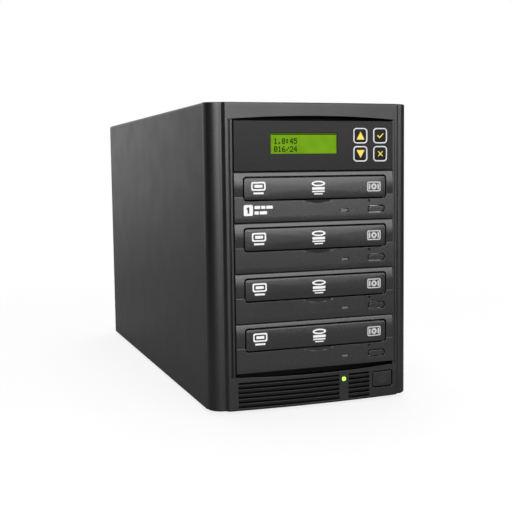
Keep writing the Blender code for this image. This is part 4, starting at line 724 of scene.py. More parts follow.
def refine(node, material, body, soft, slot=None):
    """A merged copy of a node's mesh, with flat areas made whole and its edges softened."""
    name = node + "_fine"
    solid = bmesh.new()
    solid.from_mesh(frame["nodes"][node].data)
    bmesh.ops.remove_doubles(solid, verts=solid.verts, dist=WELD)
    bmesh.ops.dissolve_limit(solid, angle_limit=FLAT_ANGLE, verts=solid.verts, edges=solid.edges)
    mesh = bpy.data.meshes.new(name)
    solid.to_mesh(mesh)
    solid.free()
    bevel = add_piece(name, mesh, material, body, [node]).modifiers.new("soft_edges", "BEVEL")
    bevel.width = soft
    bevel.segments = 2
    bevel.limit_method = "ANGLE"
    bevel.angle_limit = BEVEL_ANGLE
    bevel.harden_normals = True


# Printed marks, and dark marks painted as shade


def arc(radius, sweep, centre=(0, 0), squash=1.0):
    """Points on a circle or flattened circle, over a sweep in degrees."""
    turn = np.radians(np.linspace(*sweep, ARC_STEPS + 1))
    return np.column_stack([centre[0] + radius * np.cos(turn), centre[1] + squash * radius * np.sin(turn)])


def bar(low, high):
    """A bar with small round corners."""
    return [rounded_outline(low, high, min(BAR_ROUND, (high[1] - low[1]) / 2 - HAIR), 3)]


def rounded_frame(low, high, radius, width):
    """The two outlines of a rounded frame of even width."""
    inner = rounded_outline((low[0] + width, low[1] + width), (high[0] - width, high[1] - width),
                            radius - width / 2)
    return [rounded_outline(low, high, radius), inner]


MARK_SHAPES = {
    "bar": bar,
    "frame": rounded_frame,
    "tile": lambda low, high, radius: [rounded_outline(low, high, radius)],
    "outline": lambda *points: [np.array(points)],
    "ring": lambda centre, radii, squash: [arc(radius, RING_SWEEP, centre, share)
                                           for radius, share in zip(radii, squash)],
    "hook": lambda radii, sweep: [arc(radius, sweep) for radius in radii],
}


def laid(outline, front, fall, proud):
    """An outline laid on a surface, proud of it by a share of the print's thickness."""
    return upright(outline, front + fall(*outline.T) - proud * PRINT)


def mark_mesh(outlines, front, fall=flat, closed=True):
    """One outline as a thin slab in the surface, or two of equal count as the band between them, whose flat
    four-cornered section is carried along them."""
    if len(outlines) == 1:
        return closed_band("mark", [laid(outlines[0], front, fall, proud) for proud in (1, -1)])
    outer, inner = outlines
    section = ((outer, 1), (inner, 1), (inner, -1), (outer, -1))
    rings = np.stack([laid(outline, front, fall, proud) for outline, proud in section], axis=1)
    if not closed:
        return closed_band("mark", rings)
    rings = np.concatenate([rings, rings[:1]])
    return mesh_of("mark", rings, band_faces(len(rings), 4))


def print_marks(name, marks, place, ink, body, front, fall=flat):
    """Marks of a table at a place on a surface, joined into one piece."""
    parts = [mark_mesh([outline + np.array(place) for outline in MARK_SHAPES[kind](*values)], front, fall,
                       kind != "hook") for kind, *values in marks]
    add_piece(name, joined(name, parts), ink, body)


# Front bezel


def bulge_behind(x, z=None):
    """How far the bowed middle lies behind the drives' front plane: a shallow parabola."""
    return CREST_BEHIND - BULGE_SAG * (1 - (x / CREST_HALF) ** 2)


def bezel_plan(inset, middle):
    """The bezel's outline in plan for each row's inset: a side, a round corner, a trough, a crest, the bowed
    middle, and the same mirrored. The columns of the result run from the right seam to the left one."""
    inset = np.asarray(inset, float)[:, None]
    turn = np.linspace(0, -CORNER_SWEEP, CORNER_STEPS + 1)[None]
    centre = (CASE_HALF - CORNER_RADIUS, SEAM_Y - CORNER_START)
    corner_x = centre[0] + (CORNER_RADIUS - inset) * np.cos(turn)
    corner_y = centre[1] + (CORNER_RADIUS - inset) * np.sin(turn)
    trough = (centre[0] + CORNER_RADIUS * math.cos(CORNER_SWEEP) - TROUGH_RUN,
              centre[1] - CORNER_RADIUS * math.sin(CORNER_SWEEP) + TROUGH_SINK)
    share = np.linspace(0, 1, EASE_STEPS + 1)[None]
    ease_x = trough[0] + (CREST_HALF - trough[0]) * share + 0 * inset
    ease_y = trough[1] + (FACE_Y + CREST_BEHIND - trough[1]) * (1 - np.cos(share * math.pi)) / 2 + inset
    side_x = np.concatenate([CASE_HALF - inset, corner_x, ease_x], axis=1)
    side_y = np.concatenate([0 * inset + SEAM_Y - FIT_GAP, corner_y, ease_y], axis=1)
    middle_x = middle[::-1][None] + 0 * inset
    middle_y = FACE_Y + bulge_behind(middle_x) + inset
    x = np.concatenate([side_x, middle_x, -side_x[:, ::-1]], axis=1)
    return x, np.concatenate([side_y, middle_y, side_y[:, ::-1]], axis=1)


def lip_heights(x):
    """Heights of the bay opening's lower and upper lips: shallow parabolas, level beside the opening."""
    arch = 1 - np.clip(np.abs(x) / OPENING_HALF, 0, 1) ** 2
    lower = BAY_BOTTOM - BOTTOM_LIP_GAP - BOTTOM_LIP_ARCH * arch
    return lower, PANEL_TOP + TOP_LIP_GAP + TOP_LIP_ARCH * arch


def bezel_end(y):
    """Height of the bezel's bottom face, which rises a little towards the front."""
    return CASE_BOTTOM + BEZEL_DRAFT * (SEAM_Y - y) / BEZEL_DEPTH


def louvre_depth(x, z, bases, pitch, fields):
    """Set-back of the ribs: full at each slot's upper edge, none at the next slot, with a soft upper edge."""
    depth = np.zeros_like(z)
    for row, base in enumerate(bases):
        height = pitch - LOUVRE_LAND if row < LOUVRE_COUNT - 1 else LOUVRE_SLOT + LOUVRE_LAND
        up = z - base
        slope = np.clip(1 - (up - LOUVRE_SLOT) / (height - LOUVRE_SLOT), 0, 1)
        depth = np.where((up > LOUVRE_SLOT - HAIR) & (up < height), LOUVRE_SET_BACK * slope, depth)
        depth = depth + np.where(up < HAIR, edge_roll(-up + HAIR, SOFT / 2), 0) * (up > -SOFT)
    within = np.zeros(x.shape, bool)
    for left, right in fields:
        within |= (x > left - HAIR / 2) & (x < right + HAIR / 2)
    return depth * within


def make_front_bezel():
    """The moulded front: a function of the place along the plan and the height, with its holes and lips."""
    button_low, button_high = corners_of("power_button")
    reach = POWER_LIGHT_RADIUS + FIT_GAP
    light_x, light_z = LIGHT_MIDDLE
    holes = (
        ((light_x - reach, light_z - reach), (light_x + reach, light_z + reach), reach),
        ((button_low[0] - BUTTON_GAP, button_low[2] - BUTTON_GAP),
         (button_high[0] + BUTTON_GAP, button_high[2] + BUTTON_GAP), BUTTON_RADIUS + BUTTON_GAP),
    )
    fields = ((LOUVRE_LEFT_INSET - FACE_HALF, light_x - POWER_RIB_WIDTH / 2),
              (light_x + POWER_RIB_WIDTH / 2, FACE_HALF - LOUVRE_RIGHT_INSET))
    span = BAY_BOTTOM - CASE_BOTTOM - LOUVRE_TOP_MARGIN - LOUVRE_BOTTOM_MARGIN
    pitch = span / (LOUVRE_COUNT - 1)
    bases = CASE_BOTTOM + LOUVRE_BOTTOM_MARGIN + np.arange(LOUVRE_COUNT) * pitch - LOUVRE_SLOT / 2
    steps = roll_steps(TINY_SOFT)
    ends = np.array(fields).ravel()
    middle = lines(np.linspace(-OPENING_HALF, OPENING_HALF, MIDDLE_LINES), ends,
                   ends + np.array([-1, 1, -1, 1]) * HAIR, OPENING_HALF + steps, -OPENING_HALF - steps,
                   span_lines(holes, 0))
    heights = lines(bases, bases + LOUVRE_SLOT, bases[:-1] + pitch - LOUVRE_LAND, bases[:-1] + pitch / 2,
                    bases[-1] + LOUVRE_SLOT + LOUVRE_LAND, bases - SOFT / 8, bases - SOFT / 4,
                    bases - SOFT / 2, CASE_BOTTOM + 2 * BEZEL_EDGE, span_lines(holes, 1))

    # The rows: the bottom edge, the louvred band, the lower lip, the opening, the upper lip, the top band
    # and the top edge
    turn = quarter(BEND_LINES)
    rounding = BEZEL_EDGE * (1 - np.sin(turn))
    lift = BEZEL_EDGE * (1 - np.cos(turn))[:, None]
    x, y = bezel_plan([0], middle)
    lower, upper = lip_heights(x)
    goal = CASE_TOP + CASE_BOTTOM - bezel_end(y) - BEZEL_EDGE

    def between(start, end, parts):
        """Rows at shares of the way from one line to another."""
        return start + (end - start) * parts[:, None]

    body = np.concatenate([
        np.repeat(heights[:, None], x.shape[1], axis=1),
        between(heights[-1], lower - steps[0], shares(LIP_ROWS)),
        lower - steps[1:, None],
        between(lower, upper, shares(OPENING_ROWS)),
        upper + steps[::-1][1:, None],
        between(upper + steps[0], goal, shares(TOP_ROWS)[:-1]),
    ])
    lower_row = 1 + len(lift) + len(heights) + LIP_ROWS + len(steps) - 2
    upper_row = lower_row + OPENING_ROWS
    inset = np.concatenate([rounding[:1], rounding, np.zeros(len(body)), rounding[::-1], rounding[:1]])
    x, y = bezel_plan(inset, middle)
    low_end = bezel_end(y)
    high_end = CASE_TOP + CASE_BOTTOM - low_end
    first = 1 + len(lift)
    last = len(inset) - first
    z = np.concatenate([np.full_like(x[:1], CASE_BOTTOM), low_end[1:first] + lift, body,
                        high_end[last:-1] - lift[::-1], np.full_like(x[:1], CASE_TOP)])

    # The middle is drawn round its holes, and its edges are softened
    side = (x.shape[1] - len(middle)) // 2
    centre = slice(side, x.shape[1] - side)
    patch = (slice(first, first + len(heights)), centre)
    for low, high, radius in holes:
        x[patch], z[patch] = pulled_to_corners(x[patch], z[patch], low, high, radius, 2 * SOFT)
    y[first:last, centre] = FACE_Y + bulge_behind(x[first:last, centre])
    inner_y = y + BEZEL_WALL
    y[patch] += louvre_depth(x[patch], z[patch], bases, pitch, fields)
    for low, high, radius in holes:
        y[patch] += edge_roll(np.maximum(box_distance(x[patch], z[patch], low, high, radius), 0), TINY_SOFT)
    lower, upper = lip_heights(x)
    beside = np.maximum(np.abs(x) - OPENING_HALF, 0)
    above = np.maximum(np.maximum(lower - z, z - upper), 0)
    y[first:last] += edge_roll(np.hypot(beside, above), TINY_SOFT)[first:last]
    y[[0, -1]] = SEAM_Y - FIT_GAP

    # The inner skin lies one wall behind
    plan_x, plan_y = bezel_plan(np.full(len(inset), BEZEL_WALL), middle)
    plan_x[:, centre] = x[:, centre]
    inner_end = bezel_end(plan_y) + BEZEL_WALL
    inner_z = np.clip(z, inner_end, CASE_TOP + CASE_BOTTOM - inner_end)
    plan_y[first:last, centre] = inner_y[first:last, centre]
    plan_y[[0, -1]] = SEAM_Y - FIT_GAP

    # Cells of the opening, the slots and the holes are left out
    keep = np.ones((len(z) - 1, x.shape[1] - 1), bool)
    middle_x = (x[0, 1:] + x[0, :-1]) / 2
    keep[lower_row:upper_row, np.abs(middle_x) < OPENING_HALF] = False
    slots = [((left, base), (right, base + LOUVRE_SLOT)) for base in bases for left, right in fields]
    for low, high in slots + [hole[:2] for hole in holes]:
        keep[first:first + len(heights) - 1] &= ~in_cells(x[0], heights, low, high)
    mesh = shell_mesh("bezel_moulding", ((x, y, z), (plan_x, plan_y, inner_z)), keep)
    add_piece("bezel_moulding", mesh, "bezel_plastic", "root", replaces=["front_bezel"])


def make_bay_rims():
    """The narrow flanges beside the faceplates: a stepped section, its edges soft, carried up the opening."""
    inner = FACE_HALF + RIM_GAP
    outer = inner + RIM_WIDTH
    root = OPENING_HALF + SOFT
    front = FACE_Y + RIM_BEHIND
    web = FACE_Y + RIM_WEB_BEHIND
    turn = quarter(EDGE_LINES)
    across = TINY_SOFT * (1 - np.cos(turn))
    back = front + TINY_SOFT * (1 - np.sin(turn))
    section = np.concatenate([np.stack([inner + across, back], axis=1),
                              np.stack([outer - across, back], axis=1)[::-1],
                              [(outer, web), (root, web), (root, web + RIM_WEB), (inner, web + RIM_WEB)]])
    heights = (BAY_BOTTOM - BOTTOM_LIP_GAP + FIT_GAP, PANEL_TOP + TOP_LIP_GAP - FIT_GAP)
    for side, word in ((-1, "left"), (1, "right")):
        rings = [np.column_stack([section * (side, 1), np.full(len(section), z)]) for z in heights]
        add_piece(f"bay_rim_{word}", closed_band(f"bay_rim_{word}", rings), "bezel_plastic", "root")


def make_power_button():
    """A cap that follows the bowed front, and the symbol on it."""
    front = FACE_Y + BUTTON_SINK
    add_cap("power_cap", "power_button", "bezel_plastic", "power_button", BUTTON_RADIUS, SOFT, front,
            BUTTON_EASE, bulge_behind)
    print_marks("power_symbol", POWER_MARKS, middle_of("power_button"), "faint_ink", "power_button",
                front, bulge_behind)


def make_power_light():
    """A domed lens: a quarter of an ellipse spun round its axis."""
    low, high = corners_of("power_light")
    radius = (high[0] - low[0]) / 2
    dome = low[1] - high[1]
    profile = [(0, 0), (radius, 0)] + [(radius * math.cos(step), dome + POWER_DOME * (1 - math.sin(step)))
                                       for step in quarter(DOME_LINES)]
    mesh = turned_mesh("power_lens", profile, (LIGHT_MIDDLE[0], high[1], LIGHT_MIDDLE[1]))
    add_piece("power_lens", mesh, "power_light_lens", "root", replaces=["power_light"])


# Cover


def cover_ring(inset):
    """The cover's U from the front, at an inset for each row: up a side, round both shoulders and down."""
    inset = np.asarray(inset, float)[:, None]
    radius = np.maximum(COVER_BEND - inset, SHEET)
    turn = quarter(SHOULDER_LINES)[None]
    x = CASE_HALF - inset - radius + radius * np.cos(turn)
    z = CASE_TOP - inset - radius + radius * np.sin(turn)
    foot = np.linspace(0, 1, 3)[None, :-1]
    x = np.concatenate([CASE_HALF - inset + 0 * foot, x], axis=1)
    z = np.concatenate([CASE_BOTTOM + (z[:, :1] - CASE_BOTTOM) * foot, z], axis=1)
    return np.concatenate([x, -x[:, ::-1]], axis=1), np.concatenate([z, z[:, ::-1]], axis=1)


def make_wrap_cover():
    """The steel wrap: a U of one sheet's thickness, carried from the seam to the rear and bent in there."""
    turn = quarter(BEND_LINES)
    edge = TINY_SOFT * (1 - np.cos(turn))
    flange = np.linspace(FLANGE_BEND, COVER_FLANGE, 4)[1:]
    skins = []
    for depth, rim in ((0.0, TINY_SOFT * (1 - np.sin(turn))), (SHEET, np.full(len(turn), SHEET))):
        bend = FLANGE_BEND - depth
        inset = np.concatenate([rim, [depth], FLANGE_BEND - bend * np.cos(turn), flange])
        y = np.concatenate([SEAM_Y + edge, [(SEAM_Y + BACK_Y) / 2],
                            BACK_Y - FLANGE_BEND + bend * np.sin(turn), np.full(3, BACK_Y - depth)])
        x, z = cover_ring(inset)
        skins.append((x, y[:, None], z))
    keep = np.ones((x.shape[0] - 1, x.shape[1] - 1), bool)
    mesh = shell_mesh("cover_sheet", skins, keep)
    add_piece("cover_sheet", mesh, "case_paint", "root", replaces=["wrap_cover"])


# Drives


def faceplate_profile():
    """Height and set-back up a faceplate: a slab with quarter-circle edges, a ledge, a band crowned by half a
    sine wave, and a quarter circle to its top."""
    turn = quarter(EDGE_LINES)
    fall, rise = 1 - np.cos(turn), 1 - np.sin(turn)
    share = np.linspace(0, 1, BAND_LINES)
    band_top = FACE_HEIGHT - BAND_TOP_ROUND
    height = np.concatenate([SLAB_EDGE * fall, SLAB_TOP - SLAB_EDGE * rise,
                             SLAB_TOP + HAIR + (band_top - SLAB_TOP) * share,
                             band_top + BAND_TOP_ROUND * np.sin(turn)[1:]])
    set_back = np.concatenate([SLAB_EDGE * rise, SLAB_EDGE * fall,
                               BAND_SET_BACK - BAND_CROWN * np.sin(share * math.pi),
                               BAND_SET_BACK + BAND_TOP_ROUND * fall[1:]])
    return height, set_back


def scoop_edge(x, edge):
    """Height of the finger scoop's round lower edge, an arc that meets the doorway's edge at its ends."""
    radius = ((SCOOP_WIDTH / 2) ** 2 + SCOOP_DEPTH**2) / (2 * SCOOP_DEPTH)
    across = np.clip((x - SCOOP_OFFSET) / radius, -1, 1)
    return np.minimum(edge - SCOOP_DEPTH + radius - radius * np.sqrt(1 - across**2), edge)


def plate_mesh(name, x_lines, z_lines, front, back, holes, bend=None):
    """A moulded plate: its front is a function of place, and its edges and holes are softened. Rows of its
    grid may be bent to follow a line on it."""
    x, z = np.meshgrid(x_lines, z_lines)
    if bend:
        z = bend(x, z)
    keep = np.ones((len(z_lines) - 1, len(x_lines) - 1), bool)
    for low, high, radius in holes:
        keep &= ~in_cells(x_lines, z_lines, low, high)
        x, z = pulled_to_corners(x, z, low, high, radius, 3 * TINY_SOFT)
    y = front(x, z)
    for low, high, radius in holes:
        y = y + edge_roll(np.maximum(box_distance(x, z, low, high, radius), 0), TINY_SOFT)
    y = y + edge_roll(np.minimum(x - x_lines[0], x_lines[-1] - x), TINY_SOFT)
    return shell_mesh(name, ((x, y, z), (x, np.full_like(x, back), z)), keep)


def hole_round(node, gap, radius):
    """A hole that clears a node by an even gap, with round corners."""
    low, high = corners_of(node)
    return (low[0] - gap, low[2] - gap), (high[0] + gap, high[2] + gap), radius


def half_height(node):
    """Half of a node's height."""
    low, high = corners_of(node)
    return (high[2] - low[2]) / 2


def make_faceplate(number):
    """One drive's faceplate, with its doorway, scoop, pinhole and the openings for light and button."""
    floor = BAY_FLOORS[number]
    node = f"drive_{number}_faceplate"
    eject = f"drive_{number}_eject_button"
    pin = np.array([FACE_HALF - PINHOLE_INSET, floor + PINHOLE_ABOVE])
    wide = FIT_GAP + DOOR_EASE
    around = DOOR_GAP + DOOR_EASE
    loose = wide + EJECT_EASE
    holes = (
        hole_round(f"drive_{number}_door", around, DOOR_RADIUS + around),
        hole_round(eject, loose, half_height(eject) + loose),
        hole_round(f"drive_{number}_light", wide, wide),
        (tuple(pin - PINHOLE_RADIUS), tuple(pin + PINHOLE_RADIUS), PINHOLE_RADIUS),
    )
    height, set_back = faceplate_profile()
    edge = holes[0][0][1]
    half = SCOOP_WIDTH / 2
    fade = np.linspace(0, SCOOP_FADE, FADE_LINES)
    steps = roll_steps(TINY_SOFT)
    scoop_foot = edge - SCOOP_DEPTH
    scoop_top = edge - steps[0]
    x_lines = lines((-FACE_HALF, FACE_HALF), FACE_HALF - steps, steps - FACE_HALF,
                    np.linspace(SCOOP_OFFSET - half, SCOOP_OFFSET + half, SCOOP_LINES),
                    SCOOP_OFFSET + half + fade, SCOOP_OFFSET - half - fade, span_lines(holes, 0))
    z_lines = lines(floor + height, np.linspace(scoop_foot, scoop_top, SCOOP_ROWS), span_lines(holes, 1))

    def front(x, z):
        """The profile up the plate, and a slope that sets the scoop back evenly above its round edge."""
        scoop = np.maximum(z - scoop_edge(x, edge), 0) * SCOOP_RUN / SCOOP_DEPTH * (z < edge + HAIR)
        return FACE_Y + np.interp(z - floor, height, set_back) + scoop

    def bend(x, z):
        """Rows are drawn onto the scoop's round edge. Past its ends they fall back to level by a cube."""
        beyond = np.clip((np.abs(x - SCOOP_OFFSET) - half) / SCOOP_FADE, 0, 1)
        lower = np.minimum(scoop_edge(x, edge), scoop_top) - (scoop_top - scoop_foot) * beyond**3
        share = (z - scoop_foot) / (scoop_top - scoop_foot)
        bent = lower + (scoop_top - lower) * share
        return np.where((share > 0) & (share < 1), bent, np.where(share == 0, lower, z))

    mesh = plate_mesh(f"faceplate_{number}", x_lines, z_lines, front, FACE_Y + FACE_THICKNESS, holes, bend)
    add_piece(f"faceplate_{number}", mesh, "faceplate_plastic", "root", replaces=[node])


def make_drive_front(number):
    """The door, eject button and light of one drive, and the marks on its door."""
    tray = f"drive_{number}_tray"
    door = f"drive_{number}_door"
    low, high = corners_of(door)
    front = low[1] - DOOR_CROWN / 4
    fall = crowned(low[2], high[2], DOOR_CROWN)
    add_cap(f"door_{number}", door, "door_plastic", tray, DOOR_RADIUS, SOFT, front, DOOR_EASE, fall)
    for name, marks, ink in (("door_marks", WHITE_DOOR_MARKS, "white_ink"),
                             ("door_disc_mark", GREY_DOOR_MARKS, "grey_ink")):
        print_marks(f"{name}_{number}", marks, (0, BAY_FLOORS[number]), ink, tray, front,
                    fall)
    eject = f"drive_{number}_eject_button"
    radius = half_height(eject) - EJECT_EASE - HAIR
    add_cap(f"eject_cap_{number}", eject, "button_plastic", eject, radius, SOFT,
            corners_of(eject)[0][1] + EJECT_SINK, EJECT_EASE)
    add_cap(f"drive_lens_{number}", f"drive_{number}_light", "drive_light_lens", "root", FIT_GAP, TINY_SOFT)


def print_badge():
    """On the top drive's slab: a white tile with the number one on it, and short bars beside it."""
    place = (0, BAY_FLOORS[1])
    print_marks("drive_badge", BADGE_MARKS, place, "white_ink", "root", FACE_Y)
    print_marks("badge_number", BADGE_NUMBER, place, "black_ink", "root", FACE_Y - PRINT)


# Control panel


def make_panel():
    """The fascia with its window and key holes, the painted collars round the keys, and the lit pane."""
    grow = KEY_RING_WIDTH + FIT_GAP
    collars = {node: hole_round(node, grow, KEY_RING_RADIUS) for node in KEYS}
    holes = [hole_round("display_window", FIT_GAP, FIT_GAP)]
    for low, high, radius in collars.values():
        holes.append(((low[0] + KEY_RING_WIDTH, low[1] + KEY_RING_WIDTH),
                      (high[0] - KEY_RING_WIDTH, high[1] - KEY_RING_WIDTH), radius - KEY_RING_WIDTH))
    steps = roll_steps(PANEL_EDGE)
    x_lines = lines((-FACE_HALF, FACE_HALF), FACE_HALF - steps, steps - FACE_HALF, span_lines(holes, 0))
    z_lines = lines((PANEL_BOTTOM, PANEL_TOP), PANEL_TOP - steps, PANEL_BOTTOM + steps, span_lines(holes, 1))

    def front(x, z):
        """Flat, with its four edges rolled back by quarter circles."""
        side = edge_roll(np.minimum(x + FACE_HALF, FACE_HALF - x), PANEL_EDGE)
        return FACE_Y + np.maximum(side, edge_roll(np.minimum(z - PANEL_BOTTOM, PANEL_TOP - z), PANEL_EDGE))

    mesh = plate_mesh("panel_plate", x_lines, z_lines, front, FACE_Y + PANEL_THICKNESS, holes)
    add_piece("panel_plate", mesh, "panel_plastic", "root", replaces=["panel_fascia"])
    for node, (low, high, radius) in collars.items():
        make_key(node, low, high)
    add_cap("display_pane", "display_window", "display_green", "root", FIT_GAP, TINY_SOFT)
    print_display()


def make_key(node, low, high):
    """A painted collar, as a softened ring round a hole, and the cap in it with its yellow sign."""
    turn = quarter(EDGE_LINES)
    across = KEY_RING_PROUD * (1 - np.cos(turn))
    depth = FACE_Y - KEY_RING_PROUD + KEY_RING_PROUD * (1 - np.sin(turn))
    back = FACE_Y + PANEL_THICKNESS
    insets = np.concatenate([[0.0], across, KEY_RING_WIDTH - across[::-1], [KEY_RING_WIDTH, 0.0]])
    depths = np.concatenate([[FACE_Y + HAIR], depth, depth[::-1], [back, back]])
    rings = [upright(inset_outline(low, high, KEY_RING_RADIUS, inset), y) for inset, y in zip(insets, depths)]
    rings.append(rings[0])
    mesh = mesh_of(f"{node}_collar", np.concatenate(rings), band_faces(len(rings), len(rings[0])))
    add_piece(f"{node}_collar", mesh, "ring_paint", "root")
    add_cap(f"{node}_cap", node, "key_plastic", node, KEY_RING_RADIUS - KEY_RING_WIDTH - FIT_GAP, SOFT)
    print_marks(f"{node}_sign", [KEY_SIGNS[node]], middle_of(node), "yellow_ink", node,
                corners_of(node)[0][1])


def print_display():
    """Figures on the pane: the cells of a fine grid that their dots cover, thickened by one cell to the right
    and one down, as one thin layer, and a dark bar at the pane's upper edge: painted shadow, standing in for
    the shade of the window's recess."""
    low, high = corners_of("display_window")
    dots = np.zeros((ROW_DOTS * len(DISPLAY_ROWS), FIGURE_DOTS * len(DISPLAY_ROWS[0])), int)
    for row, figures in enumerate(DISPLAY_ROWS):
        for place, figure in enumerate(figures):
            bits = np.array(FIGURES[figure])[:, None] >> np.arange(DOTS_ACROSS - 1, -1, -1)[None] & 1
            top, left = row * ROW_DOTS, place * FIGURE_DOTS
            dots[top:top + DOTS_UP, left:left + DOTS_ACROSS] = bits
    cells = np.kron(dots, np.ones((DOT_CELLS, DOT_CELLS), int)) > 0
    cells[:, 1:] |= cells[:, :-1]
    cells[1:] |= cells[:-1]
    x = low[0] + DISPLAY_LEFT + np.arange(cells.shape[1] + 1) * DOT_PITCH[0] / DOT_CELLS
    z = high[2] - DISPLAY_TOP - np.arange(cells.shape[0] + 1) * DOT_PITCH[1] / DOT_CELLS
    x, z = np.meshgrid(x, z)
    mesh = shell_mesh("display_figures", [(x, low[1] + step, z) for step in (-PRINT, PRINT)], cells)
    add_piece("display_figures", mesh, "dark_ink", "root")
    # A dark bar painted where the window's recess shades the pane's upper edge
    shade = bar((low[0] + FIT_GAP, high[2] - DISPLAY_SHADE), (high[0] - FIT_GAP, high[2] - FIT_GAP))
    add_piece("display_painted_shadow", mark_mesh(shade, low[1]), "dark_ink", "root")


# Rear and the rest


def make_fan_guard():
    """The guard: wires carried round four circles and along the diagonals to an eye at each corner."""
    low, high = corners_of("case_fan_guard")
    hub = np.array([FAN_MIDDLE[0], (low[1] + high[1]) / 2, FAN_MIDDLE[1]])
    turn = circle(WIRE_STEPS)
    around = np.column_stack([np.cos(turn), 0 * turn, np.sin(turn)])
    parts = [tube_mesh(hub + radius * around, WIRE_RADIUS, True)
             for radius in GUARD_FIRST + GUARD_PITCH * np.arange(GUARD_RINGS)]
    for across, side in ((-1, "left"), (1, "right")):
        for up, level in ((-1, "low"), (1, "high")):
            eye = hub + np.array([across, 0, up]) * GUARD_EYE
            toward = np.array([across, 0, up]) / math.sqrt(2)
            parts.append(tube_mesh(eye + EYE_RADIUS * around[::4], WIRE_RADIUS, True))
            start = hub + toward * GUARD_FIRST
            share = np.linspace(0, 1, SPOKE_LINES)[:, None]
            parts.append(tube_mesh(start + (eye - toward * EYE_RADIUS - start) * share, WIRE_RADIUS, False))
            make_screw(f"guard_screw_{side}_{level}", (eye[0], REAR_Y, eye[2]),
                       EYE_RADIUS - WIRE_RADIUS - FIT_GAP, high[1] - REAR_Y)
    add_piece("fan_guard_wires", joined("fan_guard_wires", parts), "guard_wire", "root",
              replaces=["case_fan_guard"])


def screw_cross(radius):
    """Outline of a cross recess: one arm's corners, turned to each quarter."""
    wide, reach = radius * CROSS_ARM, radius * CROSS_REACH
    parts = [np.array([(wide, wide), (wide, reach), (-wide, reach)])]
    while len(parts) < 4:
        parts.append(parts[-1] @ np.array([[0, 1], [-1, 0]]))
    return np.concatenate(parts)


def make_screw(name, seat, radius, height):
    """A pan-head screw on a rear face: a domed disc, and a dark cross laid on its flat top as painted shade,
    standing in for the shadowed hollow of a cross recess.
    """
    turn = quarter(SCREW_LINES)
    soft = height * SCREW_SOFT
    rim = np.column_stack([radius - soft * (1 - np.cos(turn)), height - soft + soft * np.sin(turn)])
    profile = np.concatenate([[(0, 0), (radius, 0)], rim, [(0, height)]])
    add_piece(name, turned_mesh(name, profile, seat, SCREW_STEPS), "screw_steel", "root")
    # The recess is not cut: its shade is painted on the flat top as a dark cross
    cross = screw_cross(radius - soft / 2) + np.array([seat[0], seat[2]])
    add_piece(name + "_cross_recess_shade", mark_mesh([cross], seat[1] + height), "black_ink", "root")


def make_supply_screws():
    """The four screws that hold the power supply, near its corners."""
    inset = SUPPLY_SCREW_INSET
    for level, z in (("low", SUPPLY_LOW[2] + inset), ("high", SUPPLY_HIGH[2] - inset)):
        for side, x in (("left", SUPPLY_LOW[0] + inset), ("right", SUPPLY_HIGH[0] - inset)):
            make_screw(f"supply_screw_{level}_{side}", (x, REAR_Y, z), SUPPLY_SCREW_RADIUS,
                       SUPPLY_SCREW_HEIGHT)


def make_thumbscrew(word):
    """A knurled head: a stepped profile spun round, its grip's radius rippled by a wave round the turn."""
    node = f"cover_screw_{word}"
    low, high = corners_of(node)
    across, up = middle_of(node)
    radius = (high[0] - low[0]) / 2
    seat = BACK_Y - high[1] + THUMB_CLEAR
    end = low[1] - high[1]
    profile = [(radius * share - inset, -depth) for share, inset, depth in THUMB_PROFILE]
    profile += [(profile[-1][0], seat), (THUMB_NECK, seat), (THUMB_NECK, end), (0, end)]
    mesh = turned_mesh(f"thumbscrew_{word}", profile, (across, high[1], up), THUMB_STEPS)
    points = np.empty(3 * len(mesh.vertices), np.float32)
    mesh.vertices.foreach_get("co", points)
    points = points.reshape(-1, 3)
    away = points[:, [0, 2]] - np.array([across, up])
    reach = np.hypot(away[:, 0], away[:, 1])
    wave = np.cos(THUMB_RIPPLES * np.arctan2(away[:, 1], away[:, 0]))
    grip = (reach > radius * THUMB_GRIP) * THUMB_RIPPLE * (1 - wave)
    points[:, [0, 2]] -= away / np.maximum(reach, WELD)[:, None] * grip[:, None]
    mesh.vertices.foreach_set("co", points.ravel())
    add_piece(f"thumbscrew_{word}", mesh, "screw_steel", "root", replaces=[node], angle=KNURL_ANGLE)


def refine_nodes():
    """Nodes that keep their form get merged copies with softened edges."""
    for node, values in KEPT_FORMS.items():
        refine(node, *values)
    for word in ("front_left", "front_right", "rear_left", "rear_right"):
        refine(f"foot_{word}", "foot_rubber", "root", FOOT_SOFT)
    for number in DRIVES:
        tray, spindle = f"drive_{number}_tray", f"drive_{number}_spindle"
        refine(tray, "tray_plastic", tray, TRAY_SOFT)
        refine(spindle, "inner_plastic", spindle, TRAY_SOFT)


def dress_nodes():
    """Materials for the nodes that keep their own meshes, by the record's slots."""
    slots = {entry["node"]: entry["material_slot"] for entry in frame["record"]["subparts"]}
    for node, piece in frame["nodes"].items():
        if slots.get(node) in MATERIALS:
            piece.data.materials.clear()
            piece.data.materials.append(MATERIALS[slots[node]])


# Camera, lights and floor


def stand(name, data, place, right, up, forward):
    """A camera or light at a place, turned to its right, up and forward axes."""
    turn = Matrix(np.stack([right, up, -forward], axis=1).tolist()).to_4x4()
    made = bpy.data.objects.new(name, data)
    made.matrix_world = Matrix.Translation(place) @ turn
    bpy.context.scene.collection.objects.link(made)
    return made


def make_camera():
    """The photograph's viewpoint, measured from the lowest drive's front, turned, tilted and rolled."""
    data = bpy.data.cameras.new("camera")
    data.sensor_width = SENSOR_WIDTH
    data.lens = LENS
    yaw, pitch, roll = np.radians(CAMERA_TURN)
    forward = np.array([math.sin(yaw) * math.cos(pitch), math.cos(yaw) * math.cos(pitch), math.sin(pitch)])
    right = np.array([math.cos(yaw), -math.sin(yaw), 0.0])
    up = np.cross(right, forward)
    rolled = math.cos(roll) * right + math.sin(roll) * up
    rolled_up = math.cos(roll) * up - math.sin(roll) * right
    bpy.context.scene.camera = stand("camera", data, CAMERA_PLACE, rolled, rolled_up, forward)


